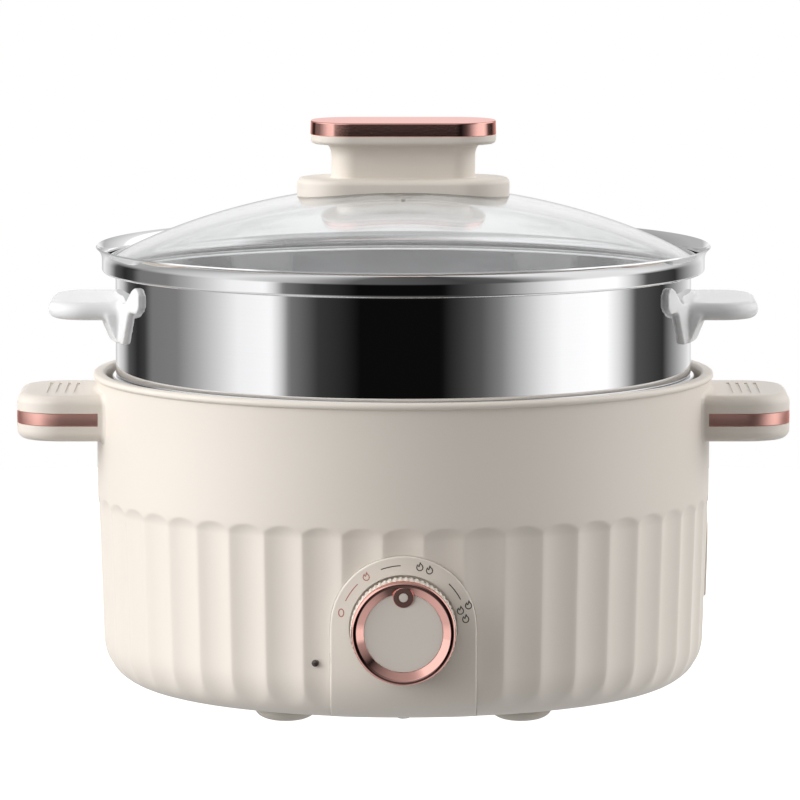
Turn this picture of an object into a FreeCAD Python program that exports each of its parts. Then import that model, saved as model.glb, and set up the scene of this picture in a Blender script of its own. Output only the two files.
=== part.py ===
"""Electric hot pot: a fluted heating base with a fixed steel pot, a lift-out steamer and a glass lid.

Frame: millimetres, +Z up, the front with the dial faces -Y, +X to the right of someone facing it.
The origin is on the pot's axis, on the surface that the feet stand on.
"""
import FreeCAD, Part
import math
import os
import Sketcher
from FreeCAD import Placement, Rotation, Vector

SIZES = {
    # heating base: the moulded outer shell
    "rim_height": 152.0,
    "shell_gap": 6.6,
    "shell_thick": 4.0,
    "wall_lean": 2.2,
    "heel_round": 22.5,
    "lip_overhang": 1.8,
    "lip_round": 1.6,
    "floor_lip": 17.3,
    # the flutes round its lower half
    "flute_count": 48,
    "flute_top": 95.0,
    "flute_depth": 1.75,
    "flute_round": 27.2,
    "flute_nose": 10.3,
    "flute_run_out": 3.0,
    # base plate, feet and their screws
    "plate_thick": 2.0,
    "plate_inset": 1.2,
    "vent_count": 16,
    "vent_inner_radius": 48.0,
    "vent_outer_radius": 76.0,
    "vent_width": 4.0,
    "foot_height": 6.0,
    "foot_radius": 14.0,
    "foot_flat_radius": 6.0,
    "foot_inset": 14.3,
    "foot_angle": 31.5,
    "peg_radius": 3.0,
    "peg_clearance": 0.1,
    "base_screw_inset": 7.3,
    "base_screw_length": 8.0,
    "screw_radius": 2.0,
    "screw_head_radius": 3.4,
    "screw_head_thick": 1.8,
    # front control panel
    "panel_half_width": 33.1,
    "panel_proud": 0.7,
    "panel_fit": 0.15,
    "panel_bevel": 0.5,
    "panel_boss_radius": 15.0,
    # dial
    "dial_height": 50.0,
    "dial_radius": 23.9,
    "dial_depth": 14.1,
    "dial_gap": 0.3,
    "dial_wall": 2.2,
    "dial_hub_radius": 6.0,
    "dial_hub_depth": 7.0,
    "dial_ring_radius": 23.5,
    "dial_ring_inner": 17.9,
    "dial_ring_rise": 2.6,
    "dial_ring_crest": 22.2,
    "dial_ring_round": 1.3,
    "dial_disc_thick": 1.4,
    "dial_fit": 0.05,
    "knurl_count": 60,
    "knurl_depth": 0.5,
    "knurl_round": 0.9,
    "pointer_reach": 16.1,
    "pointer_radius": 4.7,
    "pointer_dot_radius": 2.1,
    "spindle_radius": 3.0,
    "spindle_flat": 2.0,
    "spindle_clearance": 0.05,
    "spindle_engagement": 10.0,
    # switch and indicator behind the panel
    "switch_width": 26.0,
    "switch_depth": 20.0,
    "tab_width": 6.3,
    "tab_thick": 0.8,
    "tab_length": 8.0,
    "lens_radius": 1.6,
    "lens_proud": 0.2,
    "lens_height": 33.0,
    "lens_angle": -16.5,
    "lamp_radius": 3.5,
    "lamp_length": 11.0,
    # power inlet
    "inlet_angle": 102.0,
    "inlet_height": 62.0,
    "inlet_half_width": 28.0,
    "inlet_arch_height": 64.0,
    "inlet_bottom": 45.0,
    "socket_width": 31.0,
    "socket_tall": 19.0,
    "socket_depth": 13.0,
    "socket_wall": 2.2,
    "inlet_pin_radius": 2.0,
    "inlet_pin_spread": 10.0,
    # side handles of the base
    "handle_length": 36.8,
    "handle_half_width": 37.5,
    "handle_corner": 21.0,
    "handle_drop": 8.5,
    "handle_thick": 21.5,
    "handle_round": 4.5,
    "trim_low": 7.4,
    "trim_tall": 6.0,
    "trim_inset": 1.2,
    "trim_proud": 0.15,
    "trim_tuck": 1.8,
    "grip_groove_count": 4,
    "grip_groove_pitch": 4.17,
    "grip_groove_width": 1.7,
    "grip_groove_depth": 0.8,
    "grip_groove_half_length": 21.7,
    "grip_groove_inset": 14.7,
    "handle_screw_spread": 20.0,
    "handle_screw_grip": 12.0,
    # inner pot and what carries it
    "pot_radius": 132.6,
    "pot_sheet": 1.0,
    "pot_floor": 74.0,
    "pot_corner": 16.0,
    "pot_rim_drop": 1.4,
    "pot_rim_width": 3.7,
    "pot_rim_curl": 2.2,
    "stand_inset": 26.6,
    "stand_flange": 8.0,
    "stand_sheet": 0.8,
    "stand_vent_count": 12,
    "stand_vent_radius": 9.0,
    # heater
    "spreader_gap": 2.0,
    "spreader_thick": 3.0,
    "tube_radius": 3.3,
    "tube_circle": 70.0,
    "tube_gap_angle": 34.0,
    "tube_bend": 8.0,
    "tube_drop": 14.0,
    "bar_width": 16.0,
    "bar_thick": 2.0,
    "bar_half_length": 30.0,
    "bar_foot": 12.0,
    "thermostat_radius": 14.0,
    "thermostat_tall": 11.0,
    "fuse_radius": 4.0,
    "fuse_half_length": 12.0,
    "fuse_offset": 32.0,
    # steamer
    "steamer_step": 1.8,
    "steamer_wall": 48.2,
    "steamer_sheet": 0.8,
    "spigot_clearance": 1.0,
    "spigot_deep": 8.0,
    "spigot_corner": 5.0,
    "band_step": 6.3,
    "band_tall": 5.7,
    "brim_flare": 2.8,
    "brim_rise": 4.9,
    "steam_hole_radius": 5.0,
    "steam_hole_pitch": 26.0,
    "steam_hole_rings": 4,
    "ear_length": 30.8,
    "ear_half_width": 36.5,
    "ear_corner": 14.0,
    "ear_lift": 27.8,
    "ear_thick": 8.2,
    "ear_round": 3.6,
    "gusset_drop": 10.4,
    "gusset_top_reach": 8.3,
    "gusset_foot_reach": 3.2,
    "gusset_round": 2.0,
    "saddle_thick": 2.4,
    "saddle_half_width": 63.0,
    "saddle_foot_half_width": 40.0,
    "saddle_waist": 52.0,
    "saddle_rise": 9.4,
    "saddle_depth": 13.0,
    "saddle_corner": 5.0,
    "rivet_radius": 2.0,
    "rivet_head_radius": 4.2,
    "rivet_head_thick": 1.4,
    "rivet_spread": 18.0,
    "rivet_grip": 6.0,
    # glass lid and its metal edge
    "dome_radius": 303.0,
    "glass_thick": 4.0,
    "glass_hole_radius": 4.5,
    "lid_clearance": 1.5,
    "edge_sheet": 0.6,
    "edge_cover": 1.6,
    # lid handle
    "knob_base_length": 99.2,
    "knob_base_width": 46.0,
    "knob_base_thick": 4.6,
    "knob_base_round": 1.8,
    "neck_length": 67.0,
    "neck_width": 28.0,
    "neck_corner": 11.0,
    "neck_tall": 16.0,
    "neck_flare": 3.0,
    "knob_length": 86.6,
    "knob_width": 43.0,
    "knob_corner": 19.0,
    "knob_plate_thick": 4.2,
    "knob_plate_round": 1.2,
    "knob_cap_thick": 6.4,
    "knob_edge": 0.8,
    "lid_screw_radius": 2.5,
    "lid_screw_head_radius": 4.8,
    "lid_screw_head_thick": 2.6,
    "lid_screw_grip": 12.0,
    "lid_screw_clearance": 0.3,
    "washer_radius": 9.0,
    "washer_thick": 1.2,
}


class Size:
    """A size worked out from the sheet: its value now, and the expression that keeps it true."""

    def __init__(self, value, text):
        self.value = value
        self.text = text

    def __add__(self, other):
        return combine(self, "+", other)

    def __radd__(self, other):
        return combine(other, "+", self)

    def __sub__(self, other):
        return combine(self, "-", other)

    def __rsub__(self, other):
        return combine(other, "-", self)

    def __mul__(self, other):
        return combine(self, "*", other)

    def __rmul__(self, other):
        return combine(other, "*", self)

    def __truediv__(self, other):
        return combine(self, "/", other)

    def __rtruediv__(self, other):
        return combine(other, "/", self)

    def __neg__(self):
        return combine(-1, "*", self)


def as_size(number):
    """A plain number as a Size; a Size as it is."""
    if isinstance(number, Size):
        return number
    return Size(float(number), repr(float(number)))


def combine(left, sign, right):
    """Two sizes joined by one of the four signs, in value and in expression."""
    left = as_size(left)
    right = as_size(right)
    results = {
        "+": lambda: left.value + right.value,
        "-": lambda: left.value - right.value,
        "*": lambda: left.value * right.value,
        "/": lambda: left.value / right.value,
    }
    return Size(results[sign](), f"({left.text} {sign} {right.text})")


def root(size):
    """Square root."""
    return Size(math.sqrt(size.value), f"sqrt({size.text})")


def sine(angle):
    """Sine of an angle in degrees."""
    return Size(math.sin(math.radians(angle.value)), f"sin({angle.text} * 1 deg)")


def cosine(angle):
    """Cosine of an angle in degrees."""
    return Size(math.cos(math.radians(angle.value)), f"cos({angle.text} * 1 deg)")


def arc_tangent(slope):
    """The angle in degrees whose tangent is a slope."""
    return Size(math.degrees(math.atan(slope.value)), f"(atan({slope.text}) / 1 deg)")


def leg(long_side, other_side):
    """The third side of a right triangle, from its longest side and one other."""
    return root(long_side * long_side - other_side * other_side)


class SheetSizes:
    """The sheet's cells by name, each one a Size."""

    def __init__(self, sheet, names):
        for name in names:
            setattr(self, name, Size(float(sheet.get(name)), f"Sizes.{name}"))


doc = FreeCAD.newDocument("ElectricHotPot")
sheet = doc.addObject("Spreadsheet::Sheet", "Sizes")
for row, (alias, number) in enumerate(SIZES.items(), start=1):
    sheet.set(f"A{row}", alias)
    sheet.set(f"B{row}", str(number))
    sheet.setAlias(f"B{row}", alias)
doc.recompute()
s = SheetSizes(sheet, SIZES)
parts = {}


def bind(thing, property_name, size):
    """Tie one property of an object to a size."""
    thing.setExpression(property_name, as_size(size).text)


def new_body(name):
    """A PartDesign body that is one sub-part; its label is the name of its STEP file."""
    body = doc.addObject("PartDesign::Body", name)
    body.Label = name
    parts[name] = body
    return body


def origin_part(body, role):
    """One of the body's own origin planes or axes."""
    return next(feature for feature in body.Origin.OriginFeatures if feature.Role == role)


def sketch_on(body, role, place=(0, 0, 0), spin=None):
    """An empty sketch on one of the body's own origin planes.

    place moves it, in the plane's own X, Y and Z; spin is (axis, angle in degrees), in the same terms.
    """
    sketch = body.newObject("Sketcher::SketchObject", f"{body.Name}_sketch")
    sketch.AttachmentSupport = [(origin_part(body, role), "")]
    sketch.MapMode = "FlatFace"
    set_offset(sketch, place, spin)
    return sketch


def set_offset(thing, place, spin=None):
    """Move and turn an attached object away from the plane it sits on."""
    if spin:
        axis, angle = spin
        thing.AttachmentOffset = Placement(Vector(0, 0, 0), Rotation(Vector(*axis), 1))
        bind(thing, "AttachmentOffset.Rotation.Angle", angle)
    for letter, distance in zip("xyz", place):
        if isinstance(distance, Size) or distance:
            bind(thing, f"AttachmentOffset.Base.{letter}", distance)


def pin(sketch, geometry, point, x, y):
    """Hold one point of a sketch at x, y. A plain zero puts it on the axis."""
    if isinstance(x, Size) or x:
        index = sketch.addConstraint(
            Sketcher.Constraint("DistanceX", -1, 1, geometry, point, as_size(x).value))
        bind(sketch, f"Constraints[{index}]", x)
    else:
        sketch.addConstraint(Sketcher.Constraint("PointOnObject", geometry, point, -2))
    if isinstance(y, Size) or y:
        index = sketch.addConstraint(
            Sketcher.Constraint("DistanceY", -1, 1, geometry, point, as_size(y).value))
        bind(sketch, f"Constraints[{index}]", y)
    else:
        sketch.addConstraint(Sketcher.Constraint("PointOnObject", geometry, point, -1))


def arc_between(start, end, radius, turn):
    """A circular arc under half a turn; turn is 1 to the left and -1 to the right."""
    chord = end - start
    side = Vector(-chord.y, chord.x, 0).normalize() * turn
    half = chord.Length / 2
    centre = start + chord / 2 + side * math.sqrt(max(radius * radius - half * half, 0))
    first = start - centre
    last = end - centre
    if turn < 0:
        first, last = last, first
    from_angle = math.atan2(first.y, first.x)
    to_angle = math.atan2(last.y, last.x)
    return Part.ArcOfCircle(Part.Circle(centre, Vector(0, 0, 1), radius), from_angle, to_angle)


def draw(sketch, *corners, closed=True):
    """An outline through its corners: (x, y), or (x, y, radius, turn) where an arc leads there.

    The first corner's arc, if it has one, closes the outline.
    """
    places = [Vector(as_size(corner[0]).value, as_size(corner[1]).value, 0) for corner in corners]
    count = len(corners)
    lines = []
    for index in range(count if closed else count - 1):
        following = (index + 1) % count
        target = corners[following]
        if len(target) == 2:
            lines.append((sketch.addGeometry(Part.LineSegment(places[index], places[following])), 1, 2))
            continue
        radius, turn = as_size(target[2]), target[3]
        number = sketch.addGeometry(arc_between(places[index], places[following], radius.value, turn))
        bend = sketch.addConstraint(Sketcher.Constraint("Radius", number, radius.value))
        bind(sketch, f"Constraints[{bend}]", radius)
        lines.append((number, 1, 2) if turn > 0 else (number, 2, 1))
    for index, (number, start, end) in enumerate(lines):
        pin(sketch, number, start, corners[index][0], corners[index][1])
        if index + 1 < len(lines) or closed:
            after, after_start, _ = lines[(index + 1) % len(lines)]
            sketch.addConstraint(Sketcher.Constraint("Coincident", number, end, after, after_start))
        else:
            pin(sketch, number, end, corners[-1][0], corners[-1][1])
    return sketch


def ring(sketch, x, y, radius):
    """A full circle in a sketch."""
    centre = Vector(as_size(x).value, as_size(y).value, 0)
    number = sketch.addGeometry(Part.Circle(centre, Vector(0, 0, 1), as_size(radius).value))
    pin(sketch, number, 3, x, y)
    size = sketch.addConstraint(Sketcher.Constraint("Radius", number, as_size(radius).value))
    bind(sketch, f"Constraints[{size}]", radius)
    return sketch


def turning_line(sketch, y):
    """A construction line across a sketch at a height, to turn an outline round."""
    line = Part.LineSegment(Vector(0, as_size(y).value, 0), Vector(1, as_size(y).value, 0))
    number = sketch.addGeometry(line, True)
    pin(sketch, number, 1, 0, y)
    pin(sketch, number, 2, 1, y)
    return sketch


def revolve(body, sketch, kind="Revolution", axis="V_Axis", angle=None):
    """Turn a sketch round one of its axes: all the way, or by an angle centred on the sketch."""
    feature = body.newObject(f"PartDesign::{kind}", f"{body.Name}_{kind.lower()}")
    feature.Profile = sketch
    feature.ReferenceAxis = (sketch, [axis])
    if angle is not None:
        feature.Midplane = True
        bind(feature, "Angle", angle)
    return feature


def extrude(body, sketch, length=None, kind="Pad", reverse=False, both_ways=False):
    """Pad or pocket a sketch by a length, or all the way through where no length is given."""
    feature = body.newObject(f"PartDesign::{kind}", f"{body.Name}_{kind.lower()}")
    feature.Profile = sketch
    feature.Reversed = reverse
    if both_ways:
        feature.SideType = "Symmetric"
    if length is None:
        feature.Type = "ThroughAll"
    else:
        bind(feature, "Length", length)
    return feature


def repeat_round(body, features, count, role="Z_Axis"):
    """Repeat features evenly round one of the body's axes."""
    pattern = body.newObject("PartDesign::PolarPattern", f"{body.Name}_pattern")
    pattern.Originals = features
    pattern.Axis = (origin_part(body, role), [""])
    pattern.Angle = 360
    bind(pattern, "Occurrences", count)
    body.Tip = pattern
    return pattern


def ring_of_sectors(name, sector, count):
    """A plain feature that fuses copies of one sector's solid into a whole ring."""
    doc.recompute()
    blank = doc.addObject("Part::Feature", name)
    copies = []
    for number in range(count):
        copy = sector.Shape.copy()
        copy.rotate(Vector(0, 0, 0), Vector(0, 0, 1), 360 * number / count)
        copies.append(copy)
    blank.Shape = copies[0].multiFuse(copies[1:]).removeSplitter().Solids[0]
    return blank


def soften(body, radius, wanted, kind="Fillet"):
    """Fillet or chamfer the edges of the body's tip that pass a test."""
    doc.recompute()
    base = body.Tip
    names = [f"Edge{number}" for number, edge in enumerate(base.Shape.Edges, start=1) if wanted(edge)]
    feature = body.newObject(f"PartDesign::{kind}", f"{body.Name}_{kind.lower()}")
    feature.Base = (base, names)
    bind(feature, "Radius" if kind == "Fillet" else "Size", radius)
    body.Tip = feature
    return feature


# ---------------------------------------------------------------------------
# Sizes that several pieces share
# ---------------------------------------------------------------------------
POT_RIM_HEIGHT = s.rim_height - s.pot_rim_drop
SHELL_INNER = s.pot_radius + s.shell_gap
WALL_RADIUS = SHELL_INNER + s.shell_thick
HEEL_WALL_RADIUS = WALL_RADIUS - s.wall_lean
HEEL_HEIGHT = s.foot_height + s.heel_round
FLAT_RADIUS = HEEL_WALL_RADIUS - s.heel_round
PLATE_RADIUS = FLAT_RADIUS - s.plate_inset
FLOOR_HOLE_RADIUS = PLATE_RADIUS - s.floor_lip
BASE_SCREW_CIRCLE = PLATE_RADIUS - s.base_screw_inset
FOOT_CIRCLE = PLATE_RADIUS - s.foot_inset
SHELL_FLOOR = s.foot_height + s.shell_thick
PLATE_TOP = s.foot_height + s.plate_thick
WALL_DRAFT = s.wall_lean / (s.flute_top - HEEL_HEIGHT)
FLUTED_TOP = s.flute_top + 3
DIAL_BACK = WALL_RADIUS + s.panel_proud + s.dial_gap
DIAL_SEAT = DIAL_BACK + s.dial_depth - s.dial_ring_rise - s.dial_disc_thick
BOSS_BACK = SHELL_INNER - 3
FOOT_X = FOOT_CIRCLE * sine(s.foot_angle)
FOOT_Y = FOOT_CIRCLE * cosine(s.foot_angle)
HANDLE_REACH = WALL_RADIUS + s.handle_length
HANDLE_TOP = s.rim_height - s.handle_drop
HANDLE_BOTTOM = HANDLE_TOP - s.handle_thick
HANDLE_MIDDLE = HANDLE_TOP - s.handle_thick / 2
STAND_RADIUS = s.pot_radius - s.stand_inset
SPREADER_BOTTOM = s.pot_floor - s.spreader_thick
TUBE_HEIGHT = SPREADER_BOTTOM - s.tube_radius
STEAMER_RADIUS = s.pot_radius + s.steamer_step
SPIGOT_RADIUS = s.pot_radius - s.pot_sheet - s.spigot_clearance
BAND_BOTTOM = POT_RIM_HEIGHT + s.steamer_wall
BAND_RADIUS = STEAMER_RADIUS + s.band_step
EAR_BOTTOM = POT_RIM_HEIGHT + s.ear_lift
EAR_TOP = EAR_BOTTOM + s.ear_thick
LEDGE_TOP = BAND_BOTTOM + s.steamer_sheet
EDGE_RADIUS = BAND_RADIUS - s.steamer_sheet - s.lid_clearance
GLASS_RADIUS = EDGE_RADIUS - s.edge_sheet
UNDER_DOME = s.dome_radius - s.glass_thick
DOME_CENTRE = LEDGE_TOP + s.edge_sheet - leg(UNDER_DOME, GLASS_RADIUS)
DOME_TOP = DOME_CENTRE + s.dome_radius
KNOB_SEAT = DOME_TOP + s.knob_base_thick


def wall_at(height):
    """Outside radius of the drafted wall, without its flutes, between the heel and the flute tops."""
    return HEEL_WALL_RADIUS + WALL_DRAFT * (height - HEEL_HEIGHT)


# ---------------------------------------------------------------------------
# Heating base
# ---------------------------------------------------------------------------
def make_flute_sector():
    """One flute's share of the shell's lower half, straight ahead."""
    body = doc.addObject("PartDesign::Body", "flute_sector")
    profile = sketch_on(body, "YZ_Plane")
    draw(
        profile,
        (-FLOOR_HOLE_RADIUS, PLATE_TOP),
        (-(PLATE_RADIUS + s.panel_fit), PLATE_TOP),
        (-(PLATE_RADIUS + s.panel_fit), s.foot_height),
        (-FLAT_RADIUS, s.foot_height),
        (-HEEL_WALL_RADIUS, HEEL_HEIGHT, s.heel_round, -1),
        (-WALL_RADIUS, s.flute_top),
        (-WALL_RADIUS, FLUTED_TOP),
        (-SHELL_INNER, FLUTED_TOP),
        (-SHELL_INNER, s.flute_top),
        (-(HEEL_WALL_RADIUS - s.shell_thick), HEEL_HEIGHT),
        (-FLAT_RADIUS, SHELL_FLOOR, s.heel_round - s.shell_thick, 1),
        (-FLOOR_HOLE_RADIUS, SHELL_FLOOR),
    )
    revolve(body, profile, angle=360 / s.flute_count)
    cut_flute(body)
    return body


def cut_flute(body):
    """A round-nosed groove that follows the wall's draft down and runs out under the heel."""
    rise = s.flute_top - HEEL_HEIGHT
    lean = arc_tangent(WALL_DRAFT)
    stand_off = s.flute_round - s.flute_depth
    nose_rise = leg(s.flute_nose, s.flute_nose - s.flute_depth)
    channel_length = rise / cosine(lean) - nose_rise
    foot = (0, -(HEEL_WALL_RADIUS + stand_off), HEEL_HEIGHT)
    tilt = ((1, 0, 0), lean)

    channel = sketch_on(body, "XY_Plane", foot, tilt)
    ring(channel, 0, 0, s.flute_round)
    extrude(body, channel, channel_length, "Pocket", reverse=True)

    start_reach = s.heel_round + stand_off
    end_reach = s.heel_round + s.flute_round + s.flute_run_out
    bend = (start_reach * start_reach + end_reach * end_reach) / (2 * start_reach)
    heel = sketch_on(body, "XY_Plane", foot, tilt)
    ring(heel, 0, 0, s.flute_round)
    turning_line(heel, bend)
    revolve(body, heel, "Groove", "Axis0").Angle = 90

    top = (0, foot[1] - channel_length * sine(lean), HEEL_HEIGHT + channel_length * cosine(lean))
    nose = sketch_on(body, "XY_Plane", top, tilt)
    axis_place = s.flute_round - s.flute_nose
    half_chord = leg(s.flute_round, axis_place)
    draw(
        nose,
        (-half_chord, axis_place, s.flute_round, 1),
        (half_chord, axis_place),
        (0, s.flute_round, s.flute_round, 1),
    )
    turning_line(nose, axis_place)
    revolve(body, nose, "Groove", "Axis0").Angle = 90


def facing_sketch(body, distance, height=0, angle=None):
    """A sketch that faces outwards, upright, at a distance from the Z axis: to the front or at an angle."""
    if angle is None:
        return sketch_on(body, "XZ_Plane", (0, height, distance))
    place = (distance * sine(angle), height, distance * cosine(angle)) if distance else (0, height, 0)
    return sketch_on(body, "XZ_Plane", place, ((0, 1, 0), angle))


def draw_arch(sketch, half_width, spring_height, bottom, fit=0):
    """A round-topped arch outline, made larger all round by a fit."""
    reach = half_width + fit
    draw(
        sketch,
        (-reach, bottom),
        (reach, bottom),
        (reach, spring_height),
        (0, spring_height + reach, reach, 1),
        (-reach, spring_height, reach, 1),
    )


def make_outer_shell():
    """The moulded shell: fluted skirt, straight wall, rolled lip, and the openings in them."""
    blank = ring_of_sectors("fluted_ring", make_flute_sector(), int(s.flute_count.value))
    body = new_body("outer_shell")
    body.BaseFeature = blank
    lip_centre = WALL_RADIUS + s.lip_overhang - s.lip_round
    upper = sketch_on(body, "XZ_Plane")
    draw(
        upper,
        (SHELL_INNER, FLUTED_TOP),
        (WALL_RADIUS, FLUTED_TOP),
        (WALL_RADIUS, s.rim_height - 2 * s.lip_round),
        (lip_centre, s.rim_height - 2 * s.lip_round),
        (lip_centre + s.lip_round, s.rim_height - s.lip_round, s.lip_round, 1),
        (lip_centre, s.rim_height, s.lip_round, 1),
        (SHELL_INNER + s.lip_round, s.rim_height),
        (SHELL_INNER, s.rim_height - s.lip_round, s.lip_round, 1),
    )
    revolve(body, upper)
    front = facing_sketch(body, FLAT_RADIUS)
    draw_arch(front, s.panel_half_width, s.dial_height, -s.foot_height, s.panel_fit)
    extrude(body, front, kind="Pocket", reverse=True)

    inlet = facing_sketch(body, FLAT_RADIUS, 0, s.inlet_angle)
    draw_arch(inlet, s.inlet_half_width, s.inlet_arch_height, s.inlet_bottom - s.panel_fit, s.panel_fit)
    extrude(body, inlet, kind="Pocket", reverse=True)

    lamp = facing_sketch(body, 0, 0, s.lens_angle)
    ring(lamp, 0, s.lens_height, s.lens_radius)
    extrude(body, lamp, kind="Pocket", reverse=True)

    screws = sketch_on(body, "YZ_Plane")
    for side in (-1, 1):
        ring(screws, side * s.handle_screw_spread, HANDLE_MIDDLE, s.screw_radius)
    extrude(body, screws, kind="Pocket", both_ways=True)

    base_screws = sketch_on(body, "XY_Plane", (0, 0, s.foot_height))
    for x, y in ((1, 0), (0, 1), (-1, 0), (0, -1)):
        ring(base_screws, x * BASE_SCREW_CIRCLE, y * BASE_SCREW_CIRCLE, s.screw_radius)
    extrude(body, base_screws, s.shell_thick, "Pocket", reverse=True)
    return body


def make_control_panel():
    """The smooth arch-shaped insert that the dial turns on, with a bevelled edge and a rear boss."""
    body = new_body("control_panel")
    profile = sketch_on(body, "YZ_Plane")
    top = s.dial_height + s.panel_half_width + 2
    proud = s.panel_proud
    draw(
        profile,
        (-FLAT_RADIUS, s.foot_height),
        (-(HEEL_WALL_RADIUS + proud), HEEL_HEIGHT, s.heel_round + proud, -1),
        (-(wall_at(top) + proud), top),
        (-(wall_at(top) - s.shell_thick), top),
        (-(HEEL_WALL_RADIUS - s.shell_thick), HEEL_HEIGHT),
        (-FLAT_RADIUS, SHELL_FLOOR, s.heel_round - s.shell_thick, 1),
    )
    revolve(body, profile, angle=as_size(40))
    boss = sketch_on(body, "XZ_Plane", (0, 0, BOSS_BACK))
    ring(boss, 0, s.dial_height, s.panel_boss_radius)
    extrude(body, boss, s.shell_thick + 1)
    trim_outside(body, FLAT_RADIUS, s.panel_half_width, s.dial_height, s.foot_height)
    soften(body, s.panel_bevel, arch_rim, "Chamfer")
    hole = sketch_on(body, "XZ_Plane")
    ring(hole, 0, s.dial_height, s.spindle_radius + 0.6)
    extrude(body, hole, kind="Pocket", reverse=True)


def arch_rim(edge):
    """The panel's front edges that follow its arch, apart from the one along the bottom."""
    spring = s.dial_height.value
    for point in (edge.firstVertex().Point, edge.lastVertex().Point, edge.CenterOfMass):
        if point.z < spring:
            off_outline = abs(point.x) - s.panel_half_width.value
        else:
            off_outline = math.hypot(point.x, point.z - spring) - s.panel_half_width.value
        if abs(off_outline) > s.panel_proud.value:
            return False
        radius = math.hypot(point.x, point.y)
        if point.z >= HEEL_HEIGHT.value:
            surface = wall_at(point.z).value
        else:
            drop = HEEL_HEIGHT.value - point.z
            surface = FLAT_RADIUS.value + math.sqrt(max(s.heel_round.value ** 2 - drop ** 2, 0))
        if radius < surface - s.panel_proud.value:
            return False
    return edge.BoundBox.DiagonalLength > 2 * s.shell_thick.value


def trim_outside(body, back, half_width, spring_height, bottom):
    """Keep only what lies in an arch, in front of an upright plane, of a piece that faces -Y."""
    far = half_width * 4
    frame = sketch_on(body, "XZ_Plane", (0, 0, back))
    draw(frame, (-far, -far), (far, -far), (far, far + spring_height), (-far, far + spring_height))
    draw_arch(frame, half_width, spring_height, bottom)
    extrude(body, frame, kind="Pocket", reverse=True)
    behind = sketch_on(body, "XZ_Plane", (0, 0, back))
    draw(behind, (-far, -far), (far, -far), (far, far + spring_height), (-far, far + spring_height))
    extrude(body, behind, kind="Pocket")


def draw_screw(sketch, head_radius, head_thick, radius, reach):
    """Half a screw or rivet along the sketch's V axis: head below the origin, shank above it."""
    draw(
        sketch,
        (0, -head_thick),
        (head_radius - head_thick / 2, -head_thick),
        (head_radius, -head_thick / 2),
        (head_radius, 0),
        (radius, 0),
        (radius, reach),
        (0, reach),
    )


def make_base_plate():
    """The round bottom cover, with cooling slots and the holes for its feet and screws."""
    body = new_body("base_plate")
    disc = sketch_on(body, "XY_Plane", (0, 0, s.foot_height))
    ring(disc, 0, 0, PLATE_RADIUS)
    for x in (-1, 1):
        for y in (-1, 1):
            ring(disc, x * FOOT_X, y * FOOT_Y, s.peg_radius + s.peg_clearance)
    for x, y in ((1, 0), (0, 1), (-1, 0), (0, -1)):
        ring(disc, x * BASE_SCREW_CIRCLE, y * BASE_SCREW_CIRCLE, s.screw_radius)
    extrude(body, disc, s.plate_thick)
    slot = sketch_on(body, "XY_Plane", (0, 0, s.foot_height))
    half = s.vent_width / 2
    draw(
        slot,
        (s.vent_inner_radius, -half, half, 1),
        (s.vent_outer_radius, -half),
        (s.vent_outer_radius + half, 0, half, 1),
        (s.vent_outer_radius, half, half, 1),
        (s.vent_inner_radius, half),
        (s.vent_inner_radius - half, 0, half, 1),
    )
    vent = extrude(body, slot, s.plate_thick, "Pocket", reverse=True)
    repeat_round(body, [vent], s.vent_count)


def make_feet():
    """Four soft feet, each a shallow dome with a flat to stand on and a peg into the plate."""
    rise = s.foot_height - 1
    run = s.foot_radius - s.foot_flat_radius
    dome = (run * run + rise * rise) / (2 * rise)
    for front_or_rear, y in (("front", -1), ("rear", 1)):
        for side, x in (("left", -1), ("right", 1)):
            body = new_body(f"{front_or_rear}_{side}_foot")
            profile = sketch_on(body, "XZ_Plane")
            draw(
                profile,
                (0, 0),
                (s.foot_flat_radius, 0),
                (s.foot_radius, rise, dome, 1),
                (s.foot_radius, s.foot_height),
                (s.peg_radius, s.foot_height),
                (s.peg_radius, PLATE_TOP),
                (0, PLATE_TOP),
            )
            revolve(body, profile)
            bind(body, "Placement.Base.x", x * FOOT_X)
            bind(body, "Placement.Base.y", y * FOOT_Y)


def make_base_screws():
    """Four screws that hold the bottom cover, the shell and the pot's stand together."""
    body = new_body("base_screws")
    profile = sketch_on(body, "XZ_Plane", (BASE_SCREW_CIRCLE, s.foot_height, 0))
    draw_screw(profile, s.screw_head_radius, s.screw_head_thick, s.screw_radius, s.base_screw_length)
    screw = revolve(body, profile)
    repeat_round(body, [screw], 4)


# ---------------------------------------------------------------------------
# Dial, switch, indicator and power inlet
# ---------------------------------------------------------------------------
def dial_face(body, distance):
    """A sketch square to the dial's axis and centred on it, at a distance from the Z axis."""
    return facing_sketch(body, distance, s.dial_height)


def dial_section(body):
    """A sketch that holds the dial's axis as its H axis; -X is forwards."""
    return sketch_on(body, "YZ_Plane", (0, s.dial_height, 0))


def draw_flatted(sketch, radius, flat):
    """A round shaft's section with one flat above its centre."""
    half = leg(radius, flat)
    draw(sketch, (-half, flat, radius, -1), (half, flat), (0, -radius, radius, -1))


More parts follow.
